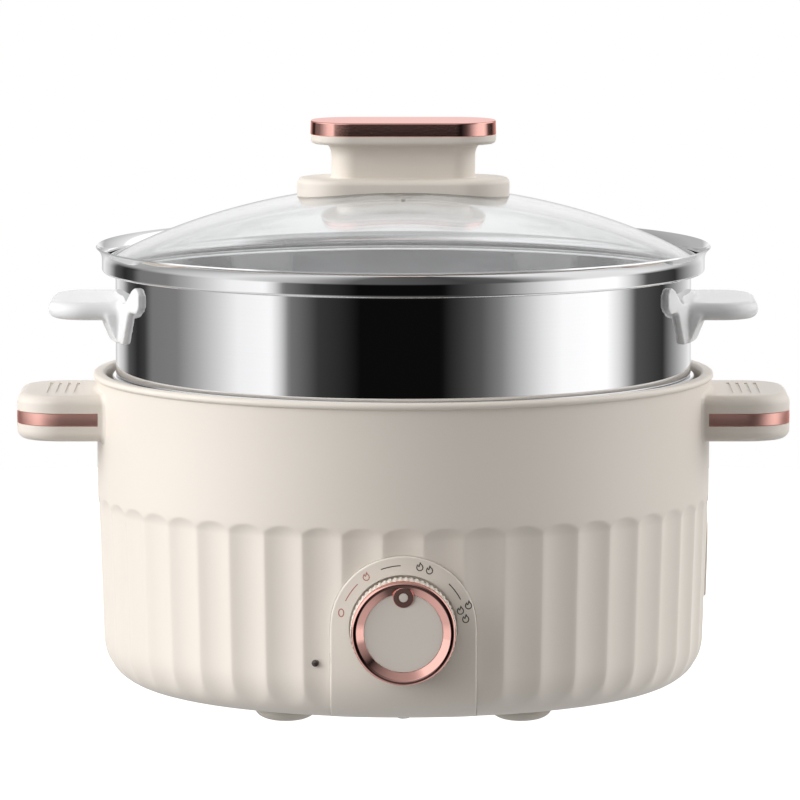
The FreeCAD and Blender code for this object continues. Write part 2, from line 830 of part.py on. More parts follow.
def make_dial_body():
    """The knob's moulded body: a hollow knurled skirt, a hub with a flatted hole, a pointer stud."""
    body = new_body("dial_body")
    web = DIAL_SEAT - s.dial_wall
    profile = dial_section(body)
    draw(
        profile,
        (-DIAL_BACK, 0),
        (-DIAL_BACK, s.dial_hub_radius),
        (-web, s.dial_hub_radius),
        (-web, s.dial_radius - s.dial_wall),
        (-DIAL_BACK, s.dial_radius - s.dial_wall),
        (-DIAL_BACK, s.dial_radius),
        (-(DIAL_SEAT - 0.4), s.dial_radius),
        (-DIAL_SEAT, s.dial_radius - 0.4),
        (-DIAL_SEAT, 0),
    )
    revolve(body, profile, axis="H_Axis")
    bore = dial_face(body, DIAL_BACK)
    draw_flatted(bore, s.spindle_radius, s.spindle_flat)
    extrude(body, bore, s.dial_hub_depth, "Pocket", reverse=True)
    stud = dial_face(body, DIAL_SEAT)
    ring(stud, 0, s.pointer_reach, s.pointer_dot_radius - s.dial_fit)
    extrude(body, stud, s.dial_disc_thick + 0.2)
    groove = dial_face(body, DIAL_BACK)
    ring(groove, 0, s.dial_radius + s.knurl_round - s.knurl_depth, s.knurl_round)
    knurl = extrude(body, groove, DIAL_SEAT - DIAL_BACK, "Pocket", reverse=True)
    pattern = repeat_round(body, [knurl], s.knurl_count)
    pattern.Axis = (groove, ["N_Axis"])


def make_dial_ring():
    """The plated ring round the knob's face, with the pointer's lobe standing into it."""
    body = new_body("dial_ring")
    front = DIAL_BACK + s.dial_depth
    face = DIAL_SEAT + s.dial_disc_thick
    profile = dial_section(body)
    draw(
        profile,
        (-DIAL_SEAT, s.dial_ring_inner),
        (-DIAL_SEAT, s.dial_ring_radius),
        (-(front - s.dial_ring_round), s.dial_ring_radius),
        (-front, s.dial_ring_radius - s.dial_ring_round, s.dial_ring_round, 1),
        (-(front - s.dial_ring_round / 2), s.dial_ring_crest - 1, s.dial_ring_round, 1),
        (-face, s.dial_ring_inner),
    )
    revolve(body, profile, axis="H_Axis")
    lobe = dial_face(body, DIAL_SEAT)
    ring(lobe, 0, s.pointer_reach, s.pointer_radius)
    extrude(body, lobe, s.dial_disc_thick + 0.2)
    hole = dial_face(body, DIAL_SEAT)
    ring(hole, 0, s.pointer_reach, s.pointer_dot_radius)
    extrude(body, hole, kind="Pocket", reverse=True)


def make_dial_disc():
    """The knob's face plate, notched for the pointer's lobe."""
    body = new_body("dial_disc")
    face = dial_face(body, DIAL_SEAT)
    ring(face, 0, 0, s.dial_ring_inner - s.dial_fit)
    extrude(body, face, s.dial_disc_thick)
    notch = dial_face(body, DIAL_SEAT)
    ring(notch, 0, s.pointer_reach, s.pointer_radius + s.dial_fit)
    extrude(body, notch, kind="Pocket", reverse=True)


def make_dial_spindle():
    """The shaft that carries the knob: round in the switch, flatted in the knob's hub."""
    body = new_body("dial_spindle")
    inner_end = BOSS_BACK - s.spindle_engagement
    round_part = dial_face(body, inner_end)
    ring(round_part, 0, 0, s.spindle_radius)
    extrude(body, round_part, DIAL_BACK - inner_end)
    flatted = dial_face(body, DIAL_BACK)
    draw_flatted(flatted, s.spindle_radius, s.spindle_flat)
    extrude(body, flatted, s.dial_hub_depth)


def draw_box(sketch, x, y, width, tall):
    """A rectangle about its centre."""
    left = x - width / 2
    right = x + width / 2
    low = y - tall / 2
    high = y + tall / 2
    draw(sketch, (left, low), (right, low), (right, high), (left, high))


def make_rotary_switch():
    """The switch behind the panel's boss, with its shaft hole and three push-on tabs."""
    body = new_body("rotary_switch")
    case = dial_face(body, BOSS_BACK)
    draw_box(case, 0, 0, s.switch_width, s.switch_width)
    extrude(body, case, s.switch_depth, reverse=True)
    tabs = dial_face(body, BOSS_BACK - s.switch_depth)
    for place in (-1, 0, 1):
        draw_box(tabs, place * s.switch_width / 3, 0, s.tab_thick, s.tab_width)
    extrude(body, tabs, s.tab_length, reverse=True)
    bore = dial_face(body, BOSS_BACK)
    ring(bore, 0, 0, s.spindle_radius + s.spindle_clearance)
    extrude(body, bore, s.spindle_engagement + 0.3, "Pocket")


def radial_sketch(body, height, angle):
    """A sketch that holds the shell's axis and turns to an angle; -X is outwards."""
    return sketch_on(body, "YZ_Plane", (0, height, 0), ((0, 1, 0), angle))


def make_indicator():
    """A small lens pushed through the shell, and the neon lamp behind it."""
    seat = wall_at(s.lens_height) - s.shell_thick - 0.3
    lens = new_body("indicator_lens")
    profile = radial_sketch(lens, s.lens_height, s.lens_angle)
    stem = s.lens_radius - s.dial_fit
    tip = wall_at(s.lens_height) + s.lens_proud
    draw(
        profile,
        (-(seat - 1), 0),
        (-(seat - 1), s.lamp_radius),
        (-seat, s.lamp_radius),
        (-seat, stem),
        (-(tip - 0.5), stem),
        (-tip, stem - 0.5),
        (-tip, 0),
    )
    revolve(lens, profile, axis="H_Axis")
    lamp = new_body("indicator_lamp")
    bulb = radial_sketch(lamp, s.lens_height, s.lens_angle)
    draw(
        bulb,
        (-(seat - 1 - s.lamp_length), 0),
        (-(seat - 1 - s.lamp_length), s.lamp_radius),
        (-(seat - 1), s.lamp_radius),
        (-(seat - 1), 0),
    )
    revolve(lamp, bulb, axis="H_Axis")


def make_power_inlet():
    """The arch-shaped inlet moulding: a cover in the shell's opening and a socket behind it."""
    body = new_body("power_inlet")
    low = s.inlet_bottom - 2
    high = s.inlet_arch_height + s.inlet_half_width + 2
    proud = s.panel_proud
    profile = radial_sketch(body, as_size(0), s.inlet_angle)
    draw(
        profile,
        (-(wall_at(low) + proud), low),
        (-(wall_at(high) + proud), high),
        (-(wall_at(high) - s.shell_thick), high),
        (-(wall_at(low) - s.shell_thick), low),
    )
    revolve(body, profile, angle=as_size(40))
    face = wall_at(s.inlet_height)
    back = face - s.socket_depth - s.socket_wall
    box = facing_sketch(body, back, s.inlet_height, s.inlet_angle)
    draw_box(box, 0, 0, s.socket_width + 2 * s.socket_wall, s.socket_tall + 2 * s.socket_wall)
    extrude(body, box, s.socket_depth)
    frame = facing_sketch(body, 0, 0, s.inlet_angle)
    far = s.inlet_half_width * 3
    draw(frame, (-far, 0), (far, 0), (far, far + far), (-far, far + far))
    draw_arch(frame, s.inlet_half_width, s.inlet_arch_height, s.inlet_bottom)
    extrude(body, frame, kind="Pocket", reverse=True)
    socket = facing_sketch(body, face - s.socket_depth, s.inlet_height, s.inlet_angle)
    draw_box(socket, 0, 0, s.socket_width, s.socket_tall)
    extrude(body, socket, kind="Pocket", reverse=True)


def make_inlet_pins():
    """Two round live pins and the flat earth pin between them."""
    body = new_body("inlet_pins")
    floor = wall_at(s.inlet_height) - s.socket_depth
    live = facing_sketch(body, floor, s.inlet_height, s.inlet_angle)
    for side in (-1, 1):
        ring(live, side * s.inlet_pin_spread, -s.inlet_pin_radius, s.inlet_pin_radius)
    extrude(body, live, s.socket_depth - 3)
    earth = facing_sketch(body, floor, s.inlet_height, s.inlet_angle)
    draw_box(earth, 0, s.inlet_pin_radius, s.inlet_pin_radius, s.inlet_pin_radius * 2)
    extrude(body, earth, s.socket_depth - 2)


# ---------------------------------------------------------------------------
# Side handles of the heating base
# ---------------------------------------------------------------------------
SIDES = (("right", 0), ("left", 180))


def new_side_body(name, turn):
    """A sub-part built on the +X side; the left one is the same piece turned round."""
    body = new_body(name)
    body.Placement = Placement(Vector(0, 0, 0), Rotation(Vector(0, 0, 1), turn))
    return body


def draw_tab(sketch, start, reach, half_width, corner):
    """A plate's outline that sticks out along X, with two rounded outer corners."""
    draw(
        sketch,
        (start, -half_width),
        (reach - corner, -half_width),
        (reach, corner - half_width, corner, 1),
        (reach, half_width - corner),
        (reach - corner, half_width, corner, 1),
        (start, half_width),
    )


def draw_strap(sketch, start, reach, half_width, corner, outside, inside):
    """A U-shaped strip along a tab's edge, reaching past it by outside and into it by inside."""
    middle = reach - corner
    outer = half_width + outside
    inner = half_width - inside
    draw(
        sketch,
        (start, -outer),
        (middle, -outer),
        (reach + outside, corner - half_width, corner + outside, 1),
        (reach + outside, half_width - corner),
        (middle, outer, corner + outside, 1),
        (start, outer),
        (start, inner),
        (middle, inner),
        (reach - inside, half_width - corner, corner - inside, -1),
        (reach - inside, corner - half_width),
        (middle, -inner, corner - inside, -1),
        (start, -inner),
    )


def flat_edges(edge):
    """Edges that lie level, apart from those buried inside the vessel."""
    box = edge.BoundBox
    return box.ZLength < 0.001 and box.XMax > WALL_RADIUS.value / 2 + 0.001


def make_side_handles():
    """The base's two carrying handles, each grooved for its strip and ribbed on top."""
    for side, turn in SIDES:
        body = new_side_body(f"{side}_side_handle", turn)
        outline = sketch_on(body, "XY_Plane", (0, 0, HANDLE_BOTTOM))
        draw_tab(outline, WALL_RADIUS / 2, HANDLE_REACH, s.handle_half_width, s.handle_corner)
        extrude(body, outline, s.handle_thick)
        soften(body, s.handle_round, flat_edges)
        wall = sketch_on(body, "XY_Plane")
        ring(wall, 0, 0, WALL_RADIUS)
        extrude(body, wall, kind="Pocket", both_ways=True)
        groove = sketch_on(body, "XY_Plane", (0, 0, HANDLE_BOTTOM + s.trim_low))
        draw_strap(groove, WALL_RADIUS - s.trim_tuck, HANDLE_REACH, s.handle_half_width, s.handle_corner,
                   s.trim_inset, s.trim_inset)
        extrude(body, groove, s.trim_tall, "Pocket", reverse=True)
        ribs = sketch_on(body, "XY_Plane", (0, 0, HANDLE_TOP))
        for number in range(int(s.grip_groove_count.value)):
            place = HANDLE_REACH - s.grip_groove_inset - number * s.grip_groove_pitch
            draw_box(ribs, place, as_size(0), s.grip_groove_width, 2 * s.grip_groove_half_length)
        extrude(body, ribs, s.grip_groove_depth, "Pocket")
        holes = sketch_on(body, "YZ_Plane", (0, 0, 0))
        for way in (-1, 1):
            ring(holes, way * s.handle_screw_spread, HANDLE_MIDDLE, s.screw_radius)
        extrude(body, holes, WALL_RADIUS + s.handle_screw_grip, "Pocket", reverse=True)

        trim = new_side_body(f"{side}_handle_trim", turn)
        strap = sketch_on(trim, "XY_Plane", (0, 0, HANDLE_BOTTOM + s.trim_low))
        draw_strap(strap, WALL_RADIUS - s.trim_tuck, HANDLE_REACH, s.handle_half_width, s.handle_corner,
                   s.trim_proud, s.trim_inset)
        extrude(trim, strap, s.trim_tall)


def make_handle_screws():
    """Two screws for each handle, driven outwards from inside the shell."""
    body = new_body("handle_screws")
    seat = leg(SHELL_INNER, s.handle_screw_spread + s.screw_head_radius)
    for side in (-1, 1):
        for way in (-1, 1):
            place = (side * seat, way * s.handle_screw_spread, HANDLE_MIDDLE)
            profile = sketch_on(body, "XY_Plane", place, ((0, 0, 1), as_size(-90 * side)))
            draw_screw(profile, s.screw_head_radius, s.screw_head_thick, s.screw_radius,
                       s.handle_screw_grip)
            revolve(body, profile)


# ---------------------------------------------------------------------------
# Inner pot and the heater under it
# ---------------------------------------------------------------------------
def make_inner_pot():
    """The drawn steel pot: flat floor, rounded heel, and an outward rim with its edge turned down."""
    body = new_body("inner_pot")
    floor = s.pot_floor
    sheet = s.pot_sheet
    under_rim = POT_RIM_HEIGHT - sheet
    rim = s.pot_radius + s.pot_rim_width
    profile = sketch_on(body, "XZ_Plane")
    draw(
        profile,
        (0, floor),
        (s.pot_radius - s.pot_corner, floor),
        (s.pot_radius, floor + s.pot_corner, s.pot_corner, 1),
        (s.pot_radius, under_rim),
        (rim - sheet, under_rim),
        (rim - sheet, POT_RIM_HEIGHT - s.pot_rim_curl),
        (rim, POT_RIM_HEIGHT - s.pot_rim_curl),
        (rim, under_rim),
        (rim - sheet, POT_RIM_HEIGHT, sheet, 1),
        (s.pot_radius, POT_RIM_HEIGHT),
        (s.pot_radius - sheet, under_rim, sheet, 1),
        (s.pot_radius - sheet, floor + s.pot_corner),
        (s.pot_radius - s.pot_corner, floor + sheet, s.pot_corner - sheet, -1),
        (0, floor + sheet),
    )
    revolve(body, profile)


def make_pot_stand():
    """The sheet-metal drum on the shell's floor that carries the pot, with air holes round it."""
    body = new_body("pot_stand")
    profile = sketch_on(body, "XZ_Plane")
    inner = STAND_RADIUS - s.stand_sheet
    draw(
        profile,
        (inner, SHELL_FLOOR),
        (STAND_RADIUS + s.stand_flange, SHELL_FLOOR),
        (STAND_RADIUS + s.stand_flange, SHELL_FLOOR + s.stand_sheet),
        (STAND_RADIUS, SHELL_FLOOR + s.stand_sheet),
        (STAND_RADIUS, s.pot_floor),
        (STAND_RADIUS - s.stand_flange, s.pot_floor),
        (STAND_RADIUS - s.stand_flange, s.pot_floor - s.stand_sheet),
        (inner, s.pot_floor - s.stand_sheet),
    )
    revolve(body, profile)
    hole = sketch_on(body, "XY_Plane", (0, 0, SHELL_FLOOR))
    for x, y in ((1, 0), (0, 1), (-1, 0), (0, -1)):
        ring(hole, x * BASE_SCREW_CIRCLE, y * BASE_SCREW_CIRCLE, s.screw_radius)
    extrude(body, hole, s.stand_sheet, "Pocket", reverse=True)
    vent = facing_sketch(body, STAND_RADIUS - s.stand_flange, (SHELL_FLOOR + s.pot_floor) / 2)
    ring(vent, 0, 0, s.stand_vent_radius)
    first = extrude(body, vent, kind="Pocket", reverse=True)
    repeat_round(body, [first], s.stand_vent_count)


def make_heat_spreader():
    """The aluminium disc between the heating tube and the pot's floor."""
    body = new_body("heat_spreader")
    disc = sketch_on(body, "XY_Plane", (0, 0, SPREADER_BOTTOM))
    ring(disc, 0, 0, STAND_RADIUS - s.stand_flange - s.spreader_gap)
    extrude(body, disc, s.spreader_thick)


def make_heating_tube():
    """The sheathed heating element: an open ring whose two ends bend down to their terminals."""
    body = new_body("heating_tube")
    section = sketch_on(body, "YZ_Plane")
    ring(section, s.tube_circle, TUBE_HEIGHT, s.tube_radius)
    revolve(body, section, angle=360 - s.tube_gap_angle)
    end_angle = 180 - s.tube_gap_angle / 2
    bend_height = TUBE_HEIGHT - s.tube_bend
    for way in (-1, 1):
        end = sketch_on(body, "YZ_Plane", (0, 0, 0), ((0, 1, 0), way * end_angle))
        ring(end, s.tube_circle, TUBE_HEIGHT, s.tube_radius)
        turning_line(end, bend_height)
        bend = revolve(body, end, axis="Axis0")
        bend.Angle = 90
        bend.Reversed = way > 0
        along = way * s.tube_bend
        leg_top = sketch_on(body, "XY_Plane", (0, 0, bend_height), ((0, 0, 1), way * end_angle))
        ring(leg_top, -along, s.tube_circle, s.tube_radius)
        extrude(body, leg_top, s.tube_drop - s.tube_bend, reverse=True)


def make_thermostat():
    """The snap-action thermostat, its clamp bar, and the thermal fuse beside it."""
    body = new_body("thermostat")
    can = sketch_on(body, "XY_Plane", (0, 0, SPREADER_BOTTOM))
    ring(can, 0, 0, s.thermostat_radius)
    extrude(body, can, s.thermostat_tall, reverse=True)

    bar = new_body("clamp_bar")
    profile = sketch_on(bar, "XZ_Plane", (0, 0, -s.bar_width / 2))
    low = SPREADER_BOTTOM - s.thermostat_tall
    inside = s.bar_half_length - s.bar_foot
    draw(
        profile,
        (-s.bar_half_length, SPREADER_BOTTOM),
        (-s.bar_half_length, SPREADER_BOTTOM - s.bar_thick),
        (-inside - s.bar_thick, SPREADER_BOTTOM - s.bar_thick),
        (-inside - s.bar_thick, low - s.bar_thick),
        (inside + s.bar_thick, low - s.bar_thick),
        (inside + s.bar_thick, SPREADER_BOTTOM - s.bar_thick),
        (s.bar_half_length, SPREADER_BOTTOM - s.bar_thick),
        (s.bar_half_length, SPREADER_BOTTOM),
        (inside, SPREADER_BOTTOM),
        (inside, low),
        (-inside, low),
        (-inside, SPREADER_BOTTOM),
    )
    extrude(bar, profile, s.bar_width)

    fuse = new_body("thermal_fuse")
    end = sketch_on(fuse, "YZ_Plane", (0, 0, -s.fuse_half_length))
    ring(end, s.fuse_offset, SPREADER_BOTTOM - s.fuse_radius, s.fuse_radius)
    extrude(fuse, end, 2 * s.fuse_half_length)


# ---------------------------------------------------------------------------
# Steamer
# ---------------------------------------------------------------------------
def make_steamer_basket():
    """The deep-drawn steamer: a perforated floor that drops into the pot, a wall and a flared brim."""
    body = new_body("steamer_basket")
    sheet = s.steamer_sheet
    shoulder = POT_RIM_HEIGHT
    floor = shoulder - s.spigot_deep
    corner = s.spigot_corner
    band_top = BAND_BOTTOM + s.band_tall
    run = s.brim_flare
    rise = s.brim_rise
    flare = (run * run + rise * rise) / (2 * run)
    inner_flare = flare + sheet
    flare_centre = BAND_RADIUS + flare
    share = inner_flare / flare
    tip_radius = flare_centre - (flare - run) * share
    tip_height = band_top + rise * share
    profile = sketch_on(body, "XZ_Plane")
    draw(
        profile,
        (0, floor),
        (SPIGOT_RADIUS - corner, floor),
        (SPIGOT_RADIUS, floor + corner, corner, 1),
        (SPIGOT_RADIUS, shoulder),
        (STEAMER_RADIUS, shoulder),
        (STEAMER_RADIUS, BAND_BOTTOM),
        (BAND_RADIUS, BAND_BOTTOM),
        (BAND_RADIUS, band_top),
        (BAND_RADIUS + run, band_top + rise, flare, -1),
        (tip_radius, tip_height),
        (BAND_RADIUS - sheet, band_top, inner_flare, 1),
        (BAND_RADIUS - sheet, LEDGE_TOP),
        (STEAMER_RADIUS - sheet, LEDGE_TOP),
        (STEAMER_RADIUS - sheet, shoulder + sheet),
        (SPIGOT_RADIUS - sheet, shoulder + sheet),
        (SPIGOT_RADIUS - sheet, floor + corner),
        (SPIGOT_RADIUS - corner, floor + sheet, corner - sheet, -1),
        (0, floor + sheet),
    )
    revolve(body, profile)
    centre = sketch_on(body, "XY_Plane", (0, 0, floor))
    ring(centre, 0, 0, s.steam_hole_radius)
    extrude(body, centre, sheet, "Pocket", reverse=True)
    for number in range(1, int(s.steam_hole_rings.value) + 1):
        hole = sketch_on(body, "XY_Plane", (0, 0, floor))
        ring(hole, number * s.steam_hole_pitch, 0, s.steam_hole_radius)
        first = extrude(body, hole, sheet, "Pocket", reverse=True)
        repeat_round(body, [first], as_size(6 * number))
    rivets = sketch_on(body, "YZ_Plane")
    for way in (-1, 1):
        ring(rivets, way * s.rivet_spread, EAR_BOTTOM + s.ear_thick / 2, s.rivet_radius)
    extrude(body, rivets, kind="Pocket", both_ways=True)


def make_steamer_handles():
    """The steamer's two flat grips, each on a gusset and on a saddle that hugs the wall."""
    for side, turn in SIDES:
        body = new_side_body(f"{side}_steamer_handle", turn)
        outline = sketch_on(body, "XY_Plane", (0, 0, EAR_BOTTOM))
        draw_tab(outline, STEAMER_RADIUS / 2, STEAMER_RADIUS + s.ear_length, s.ear_half_width,
                 s.ear_corner)
        extrude(body, outline, s.ear_thick)
        soften(body, s.ear_round, flat_edges)
        add_gusset(body)
        add_saddle(body)
        wall = sketch_on(body, "XY_Plane")
        ring(wall, 0, 0, STEAMER_RADIUS)
        extrude(body, wall, kind="Pocket", both_ways=True)
        holes = sketch_on(body, "YZ_Plane")
        for way in (-1, 1):
            ring(holes, way * s.rivet_spread, EAR_BOTTOM + s.ear_thick / 2, s.rivet_radius)
        extrude(body, holes, STEAMER_RADIUS + s.rivet_grip, "Pocket", reverse=True)


def add_gusset(body):
    """The tapered leg under the grip: a wedge that follows the wall and ends in a rounded foot."""
    profile = sketch_on(body, "XZ_Plane")
    foot = EAR_BOTTOM - s.gusset_drop
    draw(
        profile,
        (STEAMER_RADIUS - s.saddle_thick, foot),
        (STEAMER_RADIUS + s.gusset_foot_reach - s.gusset_round, foot),
        (STEAMER_RADIUS + s.gusset_foot_reach, foot + s.gusset_round, s.gusset_round, 1),
        (STEAMER_RADIUS + s.gusset_top_reach, EAR_BOTTOM + 1),
        (STEAMER_RADIUS + s.gusset_top_reach, EAR_BOTTOM + s.ear_thick / 2),
        (STEAMER_RADIUS - s.saddle_thick, EAR_BOTTOM + s.ear_thick / 2),
    )
    revolve(body, profile, angle=2 * arc_tangent(s.ear_half_width / STEAMER_RADIUS))


def add_saddle(body):
    """The thin flange on both sides of the grip, higher than it and drawn in towards its foot."""
    top = EAR_TOP + s.saddle_rise
    foot = EAR_BOTTOM - s.gusset_drop
    wing = top - s.saddle_depth
    profile = sketch_on(body, "XZ_Plane")
    draw(
        profile,
        (STEAMER_RADIUS - s.saddle_thick, foot),
        (STEAMER_RADIUS + s.saddle_thick, foot),
        (STEAMER_RADIUS + s.saddle_thick, top - s.saddle_thick / 2),
        (STEAMER_RADIUS + s.saddle_thick / 2, top, s.saddle_thick / 2, 1),
        (STEAMER_RADIUS - s.saddle_thick, top),
    )
    revolve(body, profile, angle=2 * arc_tangent(s.saddle_half_width / s.pot_radius) + 10)
    far = STEAMER_RADIUS + s.ear_length
    frame = sketch_on(body, "YZ_Plane")
    draw(frame, (-far, foot / 2), (far, foot / 2), (far, top + foot), (-far, top + foot))
    corner = s.saddle_corner
    width = s.saddle_half_width
    draw(
        frame,
        (-s.saddle_foot_half_width, foot),
        (s.saddle_foot_half_width, foot),
        (s.saddle_waist, wing),
        (width - corner, wing),
        (width, wing + corner, corner, 1),
        (width, top - corner),
        (width - corner, top, corner, 1),
        (corner - width, top),
        (-width, top - corner, corner, 1),
        (-width, wing + corner),
        (corner - width, wing, corner, 1),
        (-s.saddle_waist, wing),
    )
    extrude(body, frame, kind="Pocket", reverse=True)


def make_steamer_rivets():
    """Two rivets for each grip, headed inside the steamer."""
    body = new_body("steamer_rivets")
    inside = STEAMER_RADIUS - s.steamer_sheet
    seat = leg(inside, s.rivet_spread + s.rivet_head_radius)
    for side in (-1, 1):
        for way in (-1, 1):
            place = (side * seat, way * s.rivet_spread, EAR_BOTTOM + s.ear_thick / 2)
            profile = sketch_on(body, "XY_Plane", place, ((0, 0, 1), as_size(-90 * side)))
            draw_screw(profile, s.rivet_head_radius, s.rivet_head_thick, s.rivet_radius,
                       s.rivet_grip)
            revolve(body, profile)


# ---------------------------------------------------------------------------
# Lid
# ---------------------------------------------------------------------------
def dome_height(radius, at):
    """Height of a sphere about the dome's centre, at a distance from the axis."""
    return DOME_CENTRE + leg(radius, at)


def make_lid_glass():
    """The domed glass, drilled for the handle's screw."""
    body = new_body("lid_glass")
    profile = sketch_on(body, "XZ_Plane")
    hole = s.glass_hole_radius
    draw(
        profile,
        (hole, dome_height(UNDER_DOME, hole)),
        (GLASS_RADIUS, dome_height(UNDER_DOME, GLASS_RADIUS), UNDER_DOME, -1),
        (GLASS_RADIUS, dome_height(s.dome_radius, GLASS_RADIUS)),
        (hole, dome_height(s.dome_radius, hole), s.dome_radius, 1),
    )
    revolve(body, profile)


def make_lid_rim():
    """The steel strip folded round the edge of the glass."""
    body = new_body("lid_rim")
    sheet = s.edge_sheet
    covered = GLASS_RADIUS - s.edge_cover
    outside = s.dome_radius + sheet
    corner = sheet * 0.8
    profile = sketch_on(body, "XZ_Plane")
    draw(
        profile,
        (covered, LEDGE_TOP),
        (EDGE_RADIUS - corner, LEDGE_TOP),
        (EDGE_RADIUS, LEDGE_TOP + corner, corner, 1),
        (EDGE_RADIUS, dome_height(s.dome_radius, GLASS_RADIUS)),
        (GLASS_RADIUS, dome_height(outside, GLASS_RADIUS), 1.2 * sheet, 1),
        (covered, dome_height(outside, covered), outside, 1),
        (covered, dome_height(s.dome_radius, covered)),
        (GLASS_RADIUS, dome_height(s.dome_radius, GLASS_RADIUS), s.dome_radius, -1),
        (GLASS_RADIUS, LEDGE_TOP + sheet),
        (covered, LEDGE_TOP + sheet),
    )
    revolve(body, profile)


def draw_stadium(sketch, length, width):
    """A slot shape with round ends, along X about its centre."""
    end = width / 2
    straight = length / 2 - end
    draw(
        sketch,
        (-straight, -end, end, 1),
        (straight, -end),
        (length / 2, 0, end, 1),
        (straight, end, end, 1),
        (-straight, end),
        (-length / 2, 0, end, 1),
    )


def draw_slab(sketch, length, width, corner):
    """A rectangle with rounded corners about its centre."""
    x = length / 2
    y = width / 2
    draw(
        sketch,
        (corner - x, -y, corner, 1),
        (x - corner, -y),
        (x, corner - y, corner, 1),
        (x, y - corner),
        (x - corner, y, corner, 1),
        (corner - x, y),
        (-x, y - corner, corner, 1),
        (-x, corner - y),
    )


def level_edges(height, half_length=None):
    """A test for the level edges at one height, and no further out than a half length."""
    def passes(edge):
        box = edge.BoundBox
        if box.ZLength > 0.001 or abs(box.ZMax - height.value) > 0.001:
            return False
        return half_length is None or box.XMax < half_length.value + 0.001
    return passes


def make_lid_handle_base():
    """The handle's foot: a round-ended pad with its underside shaped to the dome."""
    body = new_body("lid_handle_base")
    deep = 2 * s.knob_base_thick
    outline = sketch_on(body, "XY_Plane", (0, 0, KNOB_SEAT))
    draw_stadium(outline, s.knob_base_length, s.knob_base_width)
    extrude(body, outline, deep + s.knob_base_thick, reverse=True)
    soften(body, s.knob_base_round, level_edges(KNOB_SEAT))
    under = sketch_on(body, "XZ_Plane")
    far = s.knob_base_length
    draw(
        under,
        (0, KNOB_SEAT - 5 * s.knob_base_thick),
        (far, KNOB_SEAT - 5 * s.knob_base_thick),
        (far, dome_height(s.dome_radius, far)),
        (0, DOME_TOP, s.dome_radius, 1),
    )
    revolve(body, under, "Groove")
    hole = sketch_on(body, "XY_Plane", (0, 0, KNOB_SEAT))
    ring(hole, 0, 0, s.lid_screw_radius + s.lid_screw_clearance)
    extrude(body, hole, kind="Pocket")


def make_lid_handle_grip():
    """The handle's neck, flared under the flat plate that the fingers lift by."""
    body = new_body("lid_handle_grip")
    neck_top = KNOB_SEAT + s.neck_tall
    plate = sketch_on(body, "XY_Plane", (0, 0, neck_top))
    draw_slab(plate, s.knob_length, s.knob_width, s.knob_corner)
    extrude(body, plate, s.knob_plate_thick)
    soften(body, s.knob_plate_round, level_edges(neck_top))
    neck = sketch_on(body, "XY_Plane", (0, 0, KNOB_SEAT))
    draw_slab(neck, s.neck_length, s.neck_width, s.neck_corner)
    extrude(body, neck, s.neck_tall)
    soften(body, s.neck_flare, level_edges(neck_top, s.neck_length / 2))
    hole = sketch_on(body, "XY_Plane", (0, 0, KNOB_SEAT))
    ring(hole, 0, 0, s.lid_screw_radius)
    extrude(body, hole, s.lid_screw_grip, "Pocket", reverse=True)


def make_lid_handle_cap():
    """The plated cover on top of the handle."""
    body = new_body("lid_handle_cap")
    bottom = KNOB_SEAT + s.neck_tall + s.knob_plate_thick
    outline = sketch_on(body, "XY_Plane", (0, 0, bottom))
    draw_slab(outline, s.knob_length, s.knob_width, s.knob_corner)
    extrude(body, outline, s.knob_cap_thick)
    soften(body, s.knob_edge, level_edges(bottom + s.knob_cap_thick))


def make_lid_fixing():
    """The screw that holds the handle from below, and the washer under the glass."""
    washer = new_body("lid_washer")
    top = dome_height(UNDER_DOME, s.washer_radius)
    face = sketch_on(washer, "XY_Plane", (0, 0, top))
    ring(face, 0, 0, s.washer_radius)
    ring(face, 0, 0, s.lid_screw_radius)
    extrude(washer, face, s.washer_thick, reverse=True)
    screw = new_body("lid_screw")
    seat = top - s.washer_thick
    profile = sketch_on(screw, "XZ_Plane", (0, seat, 0))
    draw_screw(profile, s.lid_screw_head_radius, s.lid_screw_head_thick, s.lid_screw_radius,
               KNOB_SEAT + s.lid_screw_grip - seat)
    revolve(screw, profile)


# ---------------------------------------------------------------------------
# Build, check and write
# ---------------------------------------------------------------------------
MAKERS = (
    make_outer_shell,
    make_control_panel,
    make_base_plate,
    make_feet,
    make_base_screws,
    make_dial_body,
    make_dial_ring,
    make_dial_disc,
    make_dial_spindle,
    make_rotary_switch,
    make_indicator,
    make_power_inlet,
    make_inlet_pins,
    make_side_handles,
    make_handle_screws,
    make_inner_pot,
    make_pot_stand,
    make_heat_spreader,
    make_heating_tube,
    make_thermostat,
    make_steamer_basket,
    make_steamer_handles,
    make_steamer_rivets,
    make_lid_glass,
    make_lid_rim,
    make_lid_handle_base,
    make_lid_handle_grip,
    make_lid_handle_cap,
    make_lid_fixing,
)


def check_document():
    """Stop before anything is written if an object failed or a sub-part has no sound solid."""
    for thing in doc.Objects:
        if {"Invalid", "Error"} & set(thing.State):
            raise RuntimeError(f"{thing.Name} failed: {thing.State}")
    for name, body in parts.items():
        shape = body.Shape
        if shape.isNull() or not shape.isValid() or not shape.Solids:
            raise RuntimeError(f"{name} is not a sound solid")


def write_parts():
    """One STEP file for each sub-part."""
    os.makedirs("parts", exist_ok=True)
    for name, body in parts.items():
        body.Shape.exportStep(f"parts/{name}.step")


for make_part in MAKERS:
    make_part()
doc.recompute()
check_document()
write_parts()
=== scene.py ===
"""Electric hot pot with a steamer and a glass lid, dressed for a studio picture.

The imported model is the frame. The pieces that show are rebuilt here as smooth meshes on its sizes, and
the hidden ones keep their solids. Lengths are millimetres until a mesh is made; +Z is up, the front
with the dial faces -Y, and the origin is on the pot's axis on the surface that the feet stand on.
"""
from math import asin, copysign, cos, hypot, pi, radians, sin, sqrt, tan

import bmesh
import bpy
from mathutils import Matrix, Vector


